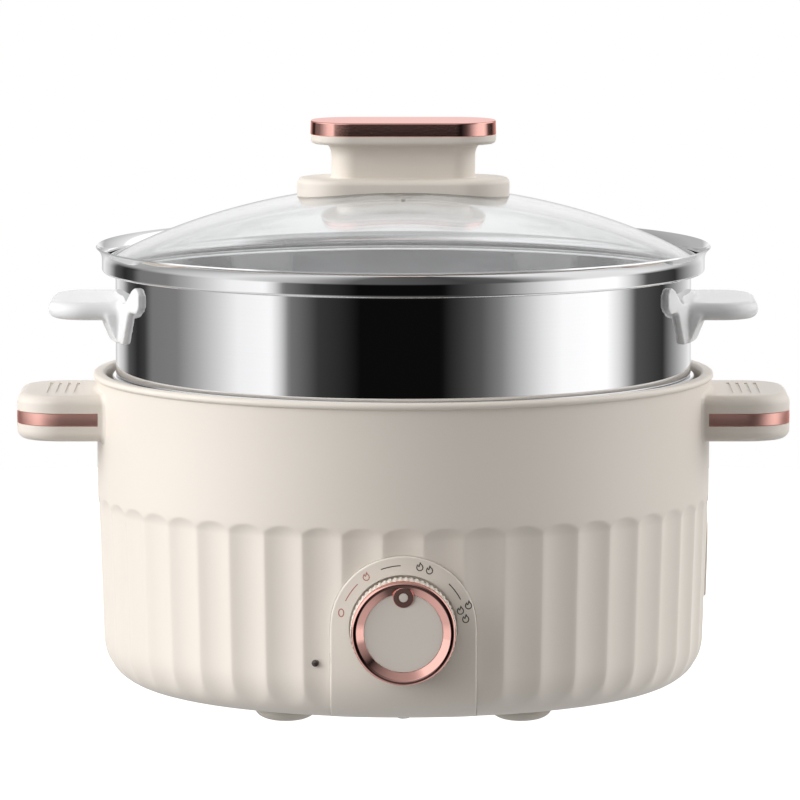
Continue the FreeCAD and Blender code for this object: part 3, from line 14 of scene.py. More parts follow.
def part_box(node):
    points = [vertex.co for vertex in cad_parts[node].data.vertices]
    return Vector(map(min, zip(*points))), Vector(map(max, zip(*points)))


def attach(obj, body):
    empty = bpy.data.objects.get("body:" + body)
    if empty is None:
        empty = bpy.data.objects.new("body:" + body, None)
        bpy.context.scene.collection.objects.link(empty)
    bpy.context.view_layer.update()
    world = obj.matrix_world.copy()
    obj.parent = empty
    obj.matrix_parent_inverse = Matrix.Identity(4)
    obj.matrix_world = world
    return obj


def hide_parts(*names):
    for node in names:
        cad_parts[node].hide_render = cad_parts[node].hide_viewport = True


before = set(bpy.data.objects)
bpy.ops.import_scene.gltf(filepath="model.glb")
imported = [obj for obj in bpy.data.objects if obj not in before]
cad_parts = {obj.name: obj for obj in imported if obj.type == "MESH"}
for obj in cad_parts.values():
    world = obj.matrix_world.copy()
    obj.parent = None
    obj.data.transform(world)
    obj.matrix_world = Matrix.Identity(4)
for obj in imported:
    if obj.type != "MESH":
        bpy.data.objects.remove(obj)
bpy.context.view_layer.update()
MM = 0.001


def low_high(node):
    """The lowest and highest corners of a node, in millimetres."""
    low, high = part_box(node)
    return low / MM, high / MM


# ---- Sizes: from the frame, and the mouldings' own small sizes ----
SHELL_LOW, SHELL_HIGH = low_high("outer_shell")
BOX_MARGIN = 0.02  # keeps the lip inside the frame's box
FOOT_HEIGHT = SHELL_LOW.z
RIM_HEIGHT = SHELL_HIGH.z
LIP_RADIUS = SHELL_HIGH.x - BOX_MARGIN
LIP_ROUND = 1.6
WALL_RADIUS = LIP_RADIUS - 1.8
WALL_THICK = 4.0
HEEL_ROUND = 22.5
HEEL_RADIUS = WALL_RADIUS - 2.2
HEEL_HEIGHT = FOOT_HEIGHT + HEEL_ROUND
FLAT_RADIUS = HEEL_RADIUS - HEEL_ROUND

FLUTES = 48
FLUTE_TOP = 95.0
FLUTE_ROUND = 27.2
FLUTE_DEPTH = 1.75
FLUTE_NOSE = 10.3
CUSP_ROUND = 1.0

PANEL_HALF_WIDTH = 33.1
PANEL_PROUD = 0.7
PANEL_GAP = 0.15

DIAL_HEIGHT = (low_high("dial_disc")[0].z + low_high("dial_disc")[1].z) / 2
DIAL_BACK = -low_high("dial_body")[1].y
DIAL_SEAT = -low_high("dial_disc")[1].y
DIAL_FACE = -low_high("dial_disc")[0].y
DIAL_FRONT = -low_high("dial_ring")[0].y
DIAL_RADIUS = low_high("dial_body")[1].x
DIAL_RING_RADIUS = low_high("dial_ring")[1].x
DIAL_DISC_RADIUS = low_high("dial_disc")[1].x
POINTER_REACH = 16.1
POINTER_RADIUS = 4.7
POINTER_DOT = 2.1

INDICATOR_ANGLE = -16.5
INDICATOR_HEIGHT = 33.0
LENS_RADIUS = 1.55

INLET_ANGLE = 102.0
INLET_HEIGHT = 62.0
INLET_ARCH = (28.0, 64.0, 45.0)

POT_FLOOR = low_high("inner_pot")[0].z
POT_RIM = low_high("inner_pot")[1]

STEAMER_LOW, STEAMER_HIGH = low_high("steamer_basket")
STEAMER_RADIUS = POT_RIM.x - 1.9
STEAMER_SHEET = 0.8
SPIGOT_RADIUS = STEAMER_RADIUS - 3.8
BAND_BOTTOM = POT_RIM.z + 48.2
BAND_TOP = BAND_BOTTOM + 5.7
BAND_RADIUS = STEAMER_RADIUS + 6.3
BRIM_RADIUS = STEAMER_HIGH.x

DOME_RADIUS = 303.0
GLASS_THICK = 4.0
GLASS_HIGH = low_high("lid_glass")[1]
GLASS_RADIUS = GLASS_HIGH.x
LEDGE_TOP = low_high("lid_rim")[0].z
EDGE_RADIUS = low_high("lid_rim")[1].x
EDGE_SHEET = 0.6

KNOB_SEAT = low_high("lid_handle_base")[1].z
KNOB_BASE = low_high("lid_handle_base")[1]
KNOB_PLATE = low_high("lid_handle_grip")[1]
KNOB_CAP = low_high("lid_handle_cap")[1]

HANDLE_LOW, HANDLE_HIGH = low_high("right_side_handle")
TRIM_LOW, TRIM_HIGH = low_high("right_handle_trim")
EAR_LOW, EAR_HIGH = low_high("right_steamer_handle")


# ---- Camera ----
def set_camera():
    """A long lens at table height, looking a little down on the pot."""
    tilt = radians(6.3)
    distance = 3418
    target_height = 137.7
    across = -1.55
    lens = bpy.data.cameras.new("front_view")
    lens.lens = 328.5
    lens.sensor_width = 36
    lens.clip_end = 100
    camera = bpy.data.objects.new("front_view", lens)
    camera.location = Vector((
        across, -distance * cos(tilt), target_height + distance * sin(tilt))) * MM
    camera.rotation_euler = (pi / 2 - tilt, 0, 0)
    bpy.context.scene.collection.objects.link(camera)
    bpy.context.scene.camera = camera


# ---- Node trees ----
def new_tree(name, kind, inputs, outputs):
    """An empty node group, with its sockets as (label, kind) and a default where an input has one."""
    tree = bpy.data.node_groups.new(name, kind)
    for label, socket, *value in inputs:
        made = tree.interface.new_socket(label, in_out="INPUT", socket_type="NodeSocket" + socket)
        if value:
            made.default_value = value[0]
    for label, socket in outputs:
        tree.interface.new_socket(label, in_out="OUTPUT", socket_type="NodeSocket" + socket)
    return tree, tree.nodes.new("NodeGroupInput").outputs, tree.nodes.new("NodeGroupOutput")


def wire(tree, node, links):
    """Feed a node's inputs, given as (input, source), from nodes, sockets or plain values."""
    for label, source in links:
        if isinstance(source, bpy.types.Node):
            source = source.outputs[0]
        if isinstance(source, bpy.types.NodeSocket):
            tree.links.new(source, node.inputs[label])
        else:
            node.inputs[label].default_value = source


def add(tree, kind, links=(), **settings):
    """A node with its settings and what feeds it."""
    node = tree.nodes.new(kind)
    for key, value in settings.items():
        setattr(node, key, value)
    wire(tree, node, links)
    return node


def maths(tree, operation, *sources):
    """A maths node on up to three sources."""
    return add(tree, "ShaderNodeMath", enumerate(sources), operation=operation)


def noise(tree, scale, detail=2.0, spot=None):
    """A noise texture, over the object's own space unless another spot is given."""
    spot = spot or add(tree, "ShaderNodeTexCoord").outputs["Object"]
    return add(tree, "ShaderNodeTexNoise", [("Vector", spot), ("Scale", scale), ("Detail", detail)])


def ranged(tree, value, start, end, low=0.0, high=1.0):
    """How far a value has come from start to end, as a number from low to high."""
    return add(tree, "ShaderNodeMapRange", [
        ("Value", value), ("From Min", start), ("From Max", end), ("To Min", low), ("To Max", high)])


def new_material(name):
    """A material, its tree and its Principled shader."""
    material = bpy.data.materials.new(name)
    material.use_nodes = True
    return material, material.node_tree, material.node_tree.nodes["Principled BSDF"]


# ---- Finishes ----
FINISH_SOCKETS = [("Color", "Color"), ("Roughness", "Float"), ("Normal", "Vector")]


def end_finish(group, given, end, sway, amount, roughness, relief, depth):
    """A finish's ends: its colour swayed by one pattern, its roughness, and a bump from another."""
    swing = maths(group, "MULTIPLY", maths(group, "SUBTRACT", sway, 0.5), given[amount])
    tone = add(group, "ShaderNodeVectorMath", [
        (0, given["Color"]), ("Scale", maths(group, "ADD", swing, 1.0))], operation="SCALE")
    bump = add(group, "ShaderNodeBump", [("Height", relief), ("Distance", given[depth]), ("Strength", 1.0)])
    wire(group, end, [("Color", tone), ("Roughness", roughness), ("Normal", bump)])


def moulded_skin_group():
    """Moulded plastic: a fine spark-eroded grain, and a faint mottle in its tone and gloss."""
    group, given, end = new_tree("moulded_skin", "ShaderNodeTree", [
        ("Color", "Color", (1, 1, 1, 1)), ("Mottle", "Float", 0.02), ("Grain Scale", "Float", 2500.0),
        ("Grain Depth", "Float", 0.00001), ("Gloss Low", "Float", 0.2), ("Gloss High", "Float", 0.3)],
        FINISH_SOCKETS)
    cloud = noise(group, 28.0, 3.0)
    gloss = ranged(group, cloud, 0.0, 1.0, given["Gloss Low"], given["Gloss High"])
    grain = noise(group, given["Grain Scale"])
    end_finish(group, given, end, cloud, "Mottle", gloss, grain, "Grain Depth")
    return group


def drawn_metal_group():
    """Spun or drawn metal: fine lines round the axis, a faint haze in the polish, and a satin inside."""
    group, given, end = new_tree("drawn_metal", "ShaderNodeTree", [
        ("Line Density", "Float", 900.0), ("Line Depth", "Float", 0.000004), ("Polish", "Float", 0.06),
        ("Haze", "Float", 0.05), ("Color", "Color", (1, 1, 1, 1)), ("Tint", "Float", 0.03),
        ("Satin Radius", "Float", 0.0), ("Satin", "Float", 0.09)], FINISH_SOCKETS)
    x, y, z = add(group, "ShaderNodeSeparateXYZ", [
        (0, add(group, "ShaderNodeTexCoord").outputs["Object"])]).outputs
    squares = [maths(group, "POWER", axis, 2.0) for axis in (x, y)]
    radius = maths(group, "SQRT", maths(group, "ADD", *squares))
    rings = add(group, "ShaderNodeCombineXYZ", [("X", radius), ("Z", z)])
    lines = noise(group, given["Line Density"], 4.0, rings)
    hazed = maths(group, "MULTIPLY", noise(group, 9.0, 4.0), given["Haze"])
    polished = maths(group, "ADD", hazed, given["Polish"])
    inside = maths(group, "LESS_THAN", radius, given["Satin Radius"])
    rough = maths(group, "MULTIPLY_ADD", inside, given["Satin"], polished)
    end_finish(group, given, end, lines, "Tint", rough, lines, "Line Depth")
    return group


MOULDED_SKIN = moulded_skin_group()
DRAWN_METAL = drawn_metal_group()


def finish_of(name, group, group_values, **sockets):
    """A material: one Principled shader, fed its colour, roughness and normal by a shared group."""
    material, tree, shader = new_material(name)
    skin = add(tree, "ShaderNodeGroup", node_tree=group)
    wire(tree, skin, group_values.items())
    wire(tree, shader, [("Base Color", skin.outputs["Color"]), ("Roughness", skin.outputs["Roughness"]),
                        ("Normal", skin.outputs["Normal"])])
    wire(tree, shader, [(label.replace("_", " "), value) for label, value in sockets.items()])
    return material


def plastic(name, color, gloss, mottle=0.02, grain=2500.0, depth=0.00001, **sockets):
    """A moulded plastic of one colour, with its gloss as a (low, high) range of roughness."""
    values = {"Color": (*color, 1), "Mottle": mottle, "Grain Scale": grain, "Grain Depth": depth,
              "Gloss Low": gloss[0], "Gloss High": gloss[1]}
    return finish_of(name, MOULDED_SKIN, values, **sockets)


def metal(name, color, polish, haze=0.04, lines=900.0, depth=0.000004, tint=0.03, satin=0.0, **sockets):
    """A drawn or plated metal, left satin within a radius in millimetres."""
    values = {"Color": (*color, 1), "Polish": polish, "Haze": haze, "Line Density": lines,
              "Line Depth": depth, "Tint": tint, "Satin Radius": satin * MM}
    return finish_of(name, DRAWN_METAL, values, Metallic=1.0, **sockets)


def clear_glass():
    """Tempered glass with a faint smear in its polish."""
    material, tree, shader = new_material("tempered_glass")
    wire(tree, shader, [
        ("Metallic", 0.0), ("Transmission Weight", 1.0), ("IOR", 1.5), ("Base Color", (0.985, 0.99, 0.99, 1)),
        ("Roughness", ranged(tree, noise(tree, 14.0, 5.0), 0.45, 0.8, 0.0, 0.035))])
    return material


CREAM = (0.80, 0.735, 0.66)
ROSE = (0.88, 0.49, 0.43)
ROSE_EDGE = (0.85, 0.5, 0.45, 1)
STEEL = (0.86, 0.86, 0.87)
MIRROR = {"haze": 0.012, "depth": 0.0000004}
MATERIALS = {
    "cream_plastic": plastic("satin_cream", CREAM, (0.36, 0.42), 0.012),
    "dial_cream": plastic("dial_cream", CREAM, (0.34, 0.4), 0.012),
    "cream_plastic_matte": plastic("matte_cream", CREAM, (0.5, 0.6), grain=900.0, depth=0.00004),
    "foot_rubber": plastic("foot_rubber", (0.62, 0.57, 0.5), (0.55, 0.7), 0.05, 1200.0, 0.00003),
    "rose_gold": metal("rose_gold_plating", ROSE, 0.05, tint=0.02, Specular_Tint=ROSE_EDGE),
    "rose_gold_satin": metal("rose_gold_satin", ROSE, 0.32, haze=0.06, Specular_Tint=ROSE_EDGE),
    "polished_steel": metal("polished_steel", STEEL, 0.012, **MIRROR),
    "steamer_steel": metal("steamer_steel", STEEL, 0.012, satin=STEAMER_RADIUS - 0.4, **MIRROR),
    "white_plastic": plastic("glossy_white", (0.83, 0.83, 0.83), (0.2, 0.28), 0.01),
    "plated_steel": metal("plated_steel", (0.66, 0.66, 0.68), 0.2, haze=0.1),
    "cast_aluminium": metal("cast_aluminium", (0.74, 0.74, 0.75), 0.35, haze=0.15, lines=300.0),
    "heater_sheath": metal("heater_sheath", (0.30, 0.29, 0.28), 0.4, haze=0.2, lines=400.0),
    "dark_plastic": plastic("dark_plastic", (0.035, 0.035, 0.037), (0.35, 0.45), 0.15),
    "amber_lens": plastic("smoked_lens", (0.05, 0.035, 0.03), (0.08, 0.12), 0.05, Coat_Weight=0.5),
    "brass_pins": metal("nickelled_brass", (0.78, 0.70, 0.50), 0.2, haze=0.1),
    "clear_glass": clear_glass(),
    "dark_ink": plastic("dark_print", (0.03, 0.026, 0.025), (0.4, 0.5), 0.1),
    "rose_ink": plastic("rose_print", (0.46, 0.17, 0.14), (0.35, 0.45), 0.1),
}


# ---- Mesh tools ----
def angles(steps, turn=pi / 2, first=0):
    """Equal steps of a turn, from nothing or a first step up to the whole turn."""
    return [turn * step / steps for step in range(first, steps + 1)]


def circle(radius, count):
    """The points of a circle round the origin."""
    return [(radius * cos(angle), radius * sin(angle)) for angle in angles(count, 2 * pi)[:-1]]


def arc(x, y, radius, turns):
    """The points of an arc round a centre, at the angles that are given."""
    return [(x + radius * cos(angle), y + radius * sin(angle)) for angle in turns]


def rounded_edge(top, edge, steps, first=1):
    """The (inset, height) steps of an edge that is rounded off below a top."""
    return [(edge * (1 - cos(angle)), top - edge + edge * sin(angle))
            for angle in angles(steps, first=first)]


def about_z(degrees):
    """A turn about the pot's axis."""
    return Matrix.Rotation(radians(degrees), 4, "Z")


def rounded_path(corners, steps=6):
    """The points of a closed path whose corners are (x, y, radius); a zero radius stays sharp."""
    points = []
    count = len(corners)
    for index, (x, y, radius) in enumerate(corners):
        here = Vector((x, y))
        if radius <= 0:
            points.append(here)
            continue
        back = (Vector(corners[index - 1][:2]) - here).normalized()
        ahead = (Vector(corners[(index + 1) % count][:2]) - here).normalized()
        half = back.angle(ahead) / 2
        centre = here + (back + ahead).normalized() * (radius / sin(half))
        start = here + back * (radius / tan(half)) - centre
        end = here + ahead * (radius / tan(half)) - centre
        turn = start.angle_signed(end)
        for step in range(steps + 1):
            points.append(centre + Matrix.Rotation(-turn * step / steps, 2) @ start)
    return points


def rounded_box(length, width, corner, steps, middle=0):
    """The points of a rounded rectangle, round the origin or round a middle on X."""
    left, right = middle - length / 2, middle + length / 2
    low, high = -width / 2, width / 2
    return rounded_path([
        (left, low, corner), (right, low, corner), (right, high, corner), (left, high, corner)], steps)


def skin(rings, closed=False):
    """Faces through rings of equally many points; closed also joins the last ring to the first."""
    count = len(rings[0])
    verts = [point for ring in rings for point in ring]
    faces = []
    for number in range(len(rings) - (0 if closed else 1)):
        here = number * count
        there = (number + 1) % len(rings) * count
        for step in range(count):
            after = (step + 1) % count
            faces.append((here + step, here + after, there + after, there + step))
    return verts, faces


def strip(rows):
    """Faces through rows of equally many points that don't close on themselves."""
    count = len(rows[0])
    verts = [point for row in rows for point in row]
    faces = []
    for number in range(len(rows) - 1):
        for step in range(count - 1):
            here = number * count + step
            faces.append((here, here + 1, here + count + 1, here + count))
    return verts, faces


def joined(parts):
    """The points and faces of several parts as one list of each."""
    verts, faces = [], []
    for more_verts, more_faces in parts:
        faces += [tuple(index + len(verts) for index in face) for face in more_faces]
        verts += more_verts
    return verts, faces


def to_mesh(name, verts, faces):
    """A clean mesh in millimetres: doubles merged, holes closed and faces turned outwards."""
    mesh = bpy.data.meshes.new(name)
    mesh.from_pydata([tuple(vert) for vert in verts], [], faces)
    tidy(mesh)
    return mesh


def tidy(mesh, merge=0.0005, fill=True):
    """Merge doubles, drop what has no area, close holes and turn the faces outwards."""
    shape = bmesh.new()
    shape.from_mesh(mesh)
    bmesh.ops.remove_doubles(shape, verts=shape.verts, dist=merge)
    bmesh.ops.dissolve_degenerate(shape, edges=shape.edges, dist=merge)
    if fill:
        rims = [edge for edge in shape.edges if edge.is_boundary]
        bmesh.ops.holes_fill(shape, edges=rims, sides=0)
    bmesh.ops.recalc_face_normals(shape, faces=shape.faces)
    shape.to_mesh(mesh)
    shape.free()


def lathe(name, profile, segments=192, closed=True):
    """A solid of revolution about Z; its profile of (radius, height) closes, or ends on the axis."""
    rings = [[(x, y, height) for x, y in circle(radius, segments)] for radius, height in profile]
    return to_mesh(name, *skin(rings, closed))


def outward_solid(name, outline, near, far):
    """A solid with an outline of (x, height) that runs outwards along -Y."""
    return to_mesh(name, *skin([[(x, -reach, height) for x, height in outline] for reach in (near, far)]))


def as_object(name, mesh):
    """A scene object for a mesh, so that modifiers can work on it."""
    thing = bpy.data.objects.new(name, mesh)
    bpy.context.scene.collection.objects.link(thing)
    return thing


def settled(thing):
    """The plain mesh that an object's modifiers make; the object itself goes."""
    view = bpy.context.evaluated_depsgraph_get()
    mesh = bpy.data.meshes.new_from_object(thing.evaluated_get(view), depsgraph=view)
    bpy.data.objects.remove(thing)
    return mesh


def combined(mesh, others, operation="DIFFERENCE"):
    """A mesh with others cut from it or fused to it."""
    thing = as_object("work", mesh)
    tools = []
    for other in others:
        tool = as_object("tool", other)
        cut = thing.modifiers.new("cut", "BOOLEAN")
        cut.operation = operation
        cut.solver = "MANIFOLD"
        cut.object = tool
        tools.append(tool)
    result = settled(thing)
    for tool in tools:
        bpy.data.objects.remove(tool)
    tidy(result, fill=False)
    return result


def facing_front(height):
    """Where a piece made along Z faces the front, at a height."""
    return Matrix.Translation((0, 0, height)) @ Matrix.Rotation(pi / 2, 4, "X")


DIAL_PLACE = facing_front(DIAL_HEIGHT)
BOTH_SIDES = (("right", None), ("left", about_z(180)))


def place(name, mesh, body, slot, replaces=(), sharp=32, material=None, turned=None, flats=True):
    """Finish a piece: to metres, shaded, with its material, riding on its body.

    With flats, the broad faces keep their own direction up to the small rounded edges.
    """
    if turned:
        mesh.transform(turned)
    mesh.transform(Matrix.Scale(MM, 4))
    mesh.materials.clear()
    mesh.materials.append(MATERIALS[material or slot])
    mesh.shade_smooth()
    mesh.set_sharp_from_angle(angle=radians(sharp))
    if flats:
        work = as_object("flats", mesh)
        weigh = work.modifiers.new("weigh", "WEIGHTED_NORMAL")
        weigh.keep_sharp = True
        mesh = settled(work)
    mesh.name = name
    thing = as_object(name, mesh)
    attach(thing, body)
    if replaces:
        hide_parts(*replaces)


# ---- Geometry Nodes: what repeats ----
def run_tree(name, mesh, tree, values):
    """The mesh that a geometry tree makes from another one, with its inputs given by name."""
    thing = as_object(name, mesh)
    modifier = thing.modifiers.new(name, "NODES")
    modifier.node_group = tree
    for item in tree.interface.items_tree:
        if item.item_type == "SOCKET" and item.in_out == "INPUT" and item.name in values:
            modifier[item.identifier] = values[item.name]
    return settled(thing)


def end_geometry(tree, given, end, geometry):
    """A geometry tree's end, with its material on."""
    coated = add(tree, "GeometryNodeSetMaterial", [("Geometry", geometry), ("Material", given["Material"])])
    wire(tree, end, [(0, coated)])


def repeat_round_tree():
    """Copies of one sector round Z, joined into a whole ring."""
    tree, given, end = new_tree("repeat_round", "GeometryNodeTree", [
        ("Geometry", "Geometry"), ("Count", "Int"), ("Join Distance", "Float"), ("Material", "Material")],
        [("Geometry", "Geometry")])
    points = add(tree, "GeometryNodeMeshLine", [("Count", given["Count"]), ("Offset", (0, 0, 0))],
                 mode="OFFSET")
    step = maths(tree, "DIVIDE", 2 * pi, given["Count"])
    turn = add(tree, "ShaderNodeCombineXYZ", [
        ("Z", maths(tree, "MULTIPLY", add(tree, "GeometryNodeInputIndex"), step))])
    copies = add(tree, "GeometryNodeInstanceOnPoints", [
        ("Points", points), ("Instance", given["Geometry"]), ("Rotation", turn)])
    real = add(tree, "GeometryNodeRealizeInstances", [("Geometry", copies)])
    whole = add(tree, "GeometryNodeMergeByDistance", [
        ("Geometry", real), ("Distance", given["Join Distance"])])
    end_geometry(tree, given, end, whole)
    return tree


def steam_holes_tree():
    """A round sheet with a centre hole and rings of six, twelve, eighteen and more holes."""
    tree, given, end = new_tree("steam_holes", "GeometryNodeTree", [
        ("Geometry", "Geometry"), ("Sheet Radius", "Float"), ("Thickness", "Float"), ("Height", "Float"),
        ("Hole Radius", "Float"), ("Ring Pitch", "Float"), ("Holes", "Int"), ("Material", "Material")],
        [("Geometry", "Geometry")])

    def calc(operation, *sources):
        return maths(tree, operation, *sources)

    index = calc("SUBTRACT", add(tree, "GeometryNodeInputIndex"), 1.0)
    inside = calc("MAXIMUM", calc("MULTIPLY_ADD", index, 4 / 3, 1.0), 0.0)
    ring = calc("FLOOR", calc("MULTIPLY", calc("ADD", calc("SQRT", inside), 1.0), 0.5))
    ring = calc("MULTIPLY", ring, calc("GREATER_THAN", index, -0.5))
    before = calc("MULTIPLY", calc("MULTIPLY", ring, calc("SUBTRACT", ring, 1.0)), 3.0)
    share = calc("DIVIDE", calc("SUBTRACT", index, before), calc("MULTIPLY", ring, 6.0))
    angle = calc("MULTIPLY", share, 2 * pi)
    reach = calc("MULTIPLY", ring, given["Ring Pitch"])
    spot = add(tree, "ShaderNodeCombineXYZ", [
        ("X", calc("MULTIPLY", reach, calc("COSINE", angle))),
        ("Y", calc("MULTIPLY", reach, calc("SINE", angle)))])
    line = add(tree, "GeometryNodeMeshLine", [("Count", given["Holes"])], mode="OFFSET")
    spots = add(tree, "GeometryNodeSetPosition", [("Geometry", line), ("Position", spot)])
    hole = add(tree, "GeometryNodeCurvePrimitiveCircle", [
        ("Resolution", 28), ("Radius", given["Hole Radius"])])
    holes = add(tree, "GeometryNodeInstanceOnPoints", [("Points", spots), ("Instance", hole)])
    rims = add(tree, "GeometryNodeRealizeInstances", [("Geometry", holes)])
    edge = add(tree, "GeometryNodeCurvePrimitiveCircle", [
        ("Resolution", 192), ("Radius", given["Sheet Radius"])])
    outlines = add(tree, "GeometryNodeJoinGeometry", [(0, rims), (0, edge)])
    sheet = add(tree, "GeometryNodeFillCurve", [(0, outlines)])
    lift = add(tree, "ShaderNodeCombineXYZ", [("Z", given["Height"])])
    level = add(tree, "GeometryNodeTransform", [("Geometry", sheet), ("Translation", lift)])
    up = add(tree, "ShaderNodeCombineXYZ", [("Z", given["Thickness"])])
    thick = add(tree, "GeometryNodeExtrudeMesh", [("Mesh", level), ("Offset", up), ("Individual", False)])
    under = add(tree, "GeometryNodeFlipFaces", [("Mesh", level)])
    both = add(tree, "GeometryNodeJoinGeometry", [(0, thick), (0, under)])
    closed = add(tree, "GeometryNodeMergeByDistance", [("Geometry", both), ("Distance", 0.001)])
    real = add(tree, "GeometryNodeRealizeInstances", [("Geometry", closed)])
    end_geometry(tree, given, end, real)
    return tree


REPEAT_ROUND = repeat_round_tree()
STEAM_HOLES = steam_holes_tree()


def repeated(name, rows, count, material):
    """A sector, as rows of points, repeated round Z into a closed ring."""
    sector = bpy.data.meshes.new("sector")
    verts, faces = strip(rows)
    sector.from_pydata(verts, [], faces)
    whole = run_tree(name, sector, REPEAT_ROUND, {
        "Count": count, "Join Distance": 0.002, "Material": MATERIALS[material]})
    tidy(whole)
    return whole


# ---- The moulded shell ----
def wall_at(height):
    """Outside radius of the wall, without its flutes, above the heel."""
    if height > FLUTE_TOP:
        return WALL_RADIUS
    return HEEL_RADIUS + (WALL_RADIUS - HEEL_RADIUS) * (height - HEEL_HEIGHT) / (FLUTE_TOP - HEEL_HEIGHT)


def soft_positive(value, softness):
    """The value where it is above zero and zero below, with a rounded bend between."""
    return (value + sqrt(value * value + softness * softness)) / 2


def flute_depth(across, half_pitch, height, heel_angle):
    """How deep a flute is at a distance across from its middle, at a height or round the heel."""
    stand_off = FLUTE_ROUND - FLUTE_DEPTH
    from_cusp = hypot(half_pitch - abs(across), CUSP_ROUND)
    across = max(half_pitch - from_cusp, 0) if from_cusp < half_pitch else 0
    depth = sqrt(FLUTE_ROUND ** 2 - across ** 2) - stand_off
    if heel_angle > 0:
        bend_start = HEEL_ROUND + stand_off
        bend_end = HEEL_ROUND + FLUTE_ROUND + 3
        bend = (bend_start ** 2 + bend_end ** 2) / (2 * bend_start)
        shift = bend_start - bend
        path = shift * cos(heel_angle) + sqrt(bend ** 2 - (shift * sin(heel_angle)) ** 2)
        depth -= path - bend_start
        return soft_positive(depth, 0.12)
    nose_axis = FLUTE_NOSE - FLUTE_DEPTH
    nose_start = FLUTE_TOP - sqrt(FLUTE_NOSE ** 2 - nose_axis ** 2)
    if height > nose_start:
        reach = nose_axis + depth
        rise = height - nose_start
        depth = sqrt(max(reach ** 2 - rise ** 2, 0)) - nose_axis
        return soft_positive(depth, 0.2) if height < FLUTE_TOP + 2 else 0
    return depth


def shell_rows():
    """The shell's section as (radius, height, heel angle), which has no heel angle where it is plain."""
    inner = WALL_RADIUS - WALL_THICK
    lip_height = RIM_HEIGHT - LIP_ROUND
    lip_foot = RIM_HEIGHT - 2 * LIP_ROUND
    heel = [pi / 2 * (1 - step / 14) for step in range(15)]
    rows = [(FLAT_RADIUS + HEEL_ROUND * cos(angle), HEEL_HEIGHT - HEEL_ROUND * sin(angle), angle)
            for angle in heel]
    heights = [HEEL_HEIGHT + 4 + step * 7.2 for step in range(8)]
    heights += [87.6 + step * 0.45 for step in range(22)]
    rows += [(wall_at(height), height, 0) for height in heights]
    plain = [(WALL_RADIUS, 99.5), (WALL_RADIUS, 125.0), (WALL_RADIUS, lip_foot - 0.6),
             (WALL_RADIUS + 0.05, lip_foot - 0.1)]
    plain += arc(LIP_RADIUS - LIP_ROUND, lip_height, LIP_ROUND,
                 [pi * (step / 12 - 0.5) for step in range(1, 13)])
    plain += arc(inner + LIP_ROUND, lip_height, LIP_ROUND, [pi / 2 * (1 + step / 4) for step in range(5)])
    plain.append((inner, FLUTE_TOP))
    plain += arc(FLAT_RADIUS, HEEL_HEIGHT, HEEL_ROUND - WALL_THICK, angles(6, -pi / 2))
    plate_edge = FLAT_RADIUS - 1.05
    ledge = plate_edge - 17.4
    plain += [(ledge, FOOT_HEIGHT + WALL_THICK), (ledge, FOOT_HEIGHT + 2), (plate_edge, FOOT_HEIGHT + 2),
              (plate_edge, FOOT_HEIGHT)]
    return rows + [(radius, height, None) for radius, height in plain]


def make_shell():
    """The fluted shell with the arch openings for the panel and the inlet, and the lamp's hole."""
    half_angle = pi / FLUTES
    shares = [-cos(angle) for angle in angles(16, pi)]
    rows = []
    for radius, height, heel_angle in shell_rows():
        half_pitch = radius * tan(half_angle)
        row = []
        for share in shares:
            turn = share * half_angle
            away, up = radius, height
            if heel_angle is not None:
                depth = flute_depth(radius * tan(turn), half_pitch, height, heel_angle)
                away -= depth * cos(heel_angle)
                up += depth * sin(heel_angle)
            row.append((away * sin(turn), -away * cos(turn), up))
        rows.append(row)
    rows.append(rows[0])
    whole = repeated("outer_shell", rows, FLUTES, "cream_plastic")
    front = arch_prism(PANEL_HALF_WIDTH + PANEL_GAP, DIAL_HEIGHT, -20, FLAT_RADIUS, 60)
    half_width, spring, bottom = INLET_ARCH
    side = arch_prism(half_width + PANEL_GAP, spring, bottom - PANEL_GAP, 100, 80)
    side.transform(about_z(INLET_ANGLE))
    lamp = rod(LENS_RADIUS + 0.05, 120, 160, INDICATOR_HEIGHT)
    lamp.transform(about_z(INDICATOR_ANGLE))
    whole = combined(whole, [front, side, lamp])
    place("shell_fluted", whole, "base", "cream_plastic", ["outer_shell"], 50, flats=False)


def arch_outline(half_width, spring, bottom, steps=36):
    """A round-topped arch as points (x, height), from its lower right corner round to the left one."""
    points = [(half_width, bottom + (spring - bottom) * step / 12) for step in range(12)]
    points += arc(0, spring, half_width, angles(steps, pi))
    points += [(-half_width, spring + (bottom - spring) * step / 12) for step in range(1, 13)]
    points += [(half_width * (step / 6 - 1), bottom) for step in range(1, 12)]
    return points


def arch_prism(half_width, spring, bottom, near, deep):
    """A solid with an arch outline that runs outwards."""
    return outward_solid("arch_prism", arch_outline(half_width, spring, bottom), near, near + deep)


def rod(radius, near, far, height):
    """A round rod that points outwards at a height."""
    return outward_solid("rod", [(x, height + up) for up, x in circle(radius, 32)], near, far)


def on_wall(x, along, lift):
    """The point on the shell's front at x and a length along its section, lifted off its surface."""
    if along >= HEEL_HEIGHT:
        radius = wall_at(along) + lift
        height = along
    else:
        angle = min((HEEL_HEIGHT - along) / HEEL_ROUND, pi / 2)
        lift = lift * cos(angle) if lift > 0 else lift
        radius = FLAT_RADIUS + (HEEL_ROUND + lift) * cos(angle)
        height = HEEL_HEIGHT - (HEEL_ROUND + lift) * sin(angle)
    return (x, -sqrt(radius * radius - x * x), height)


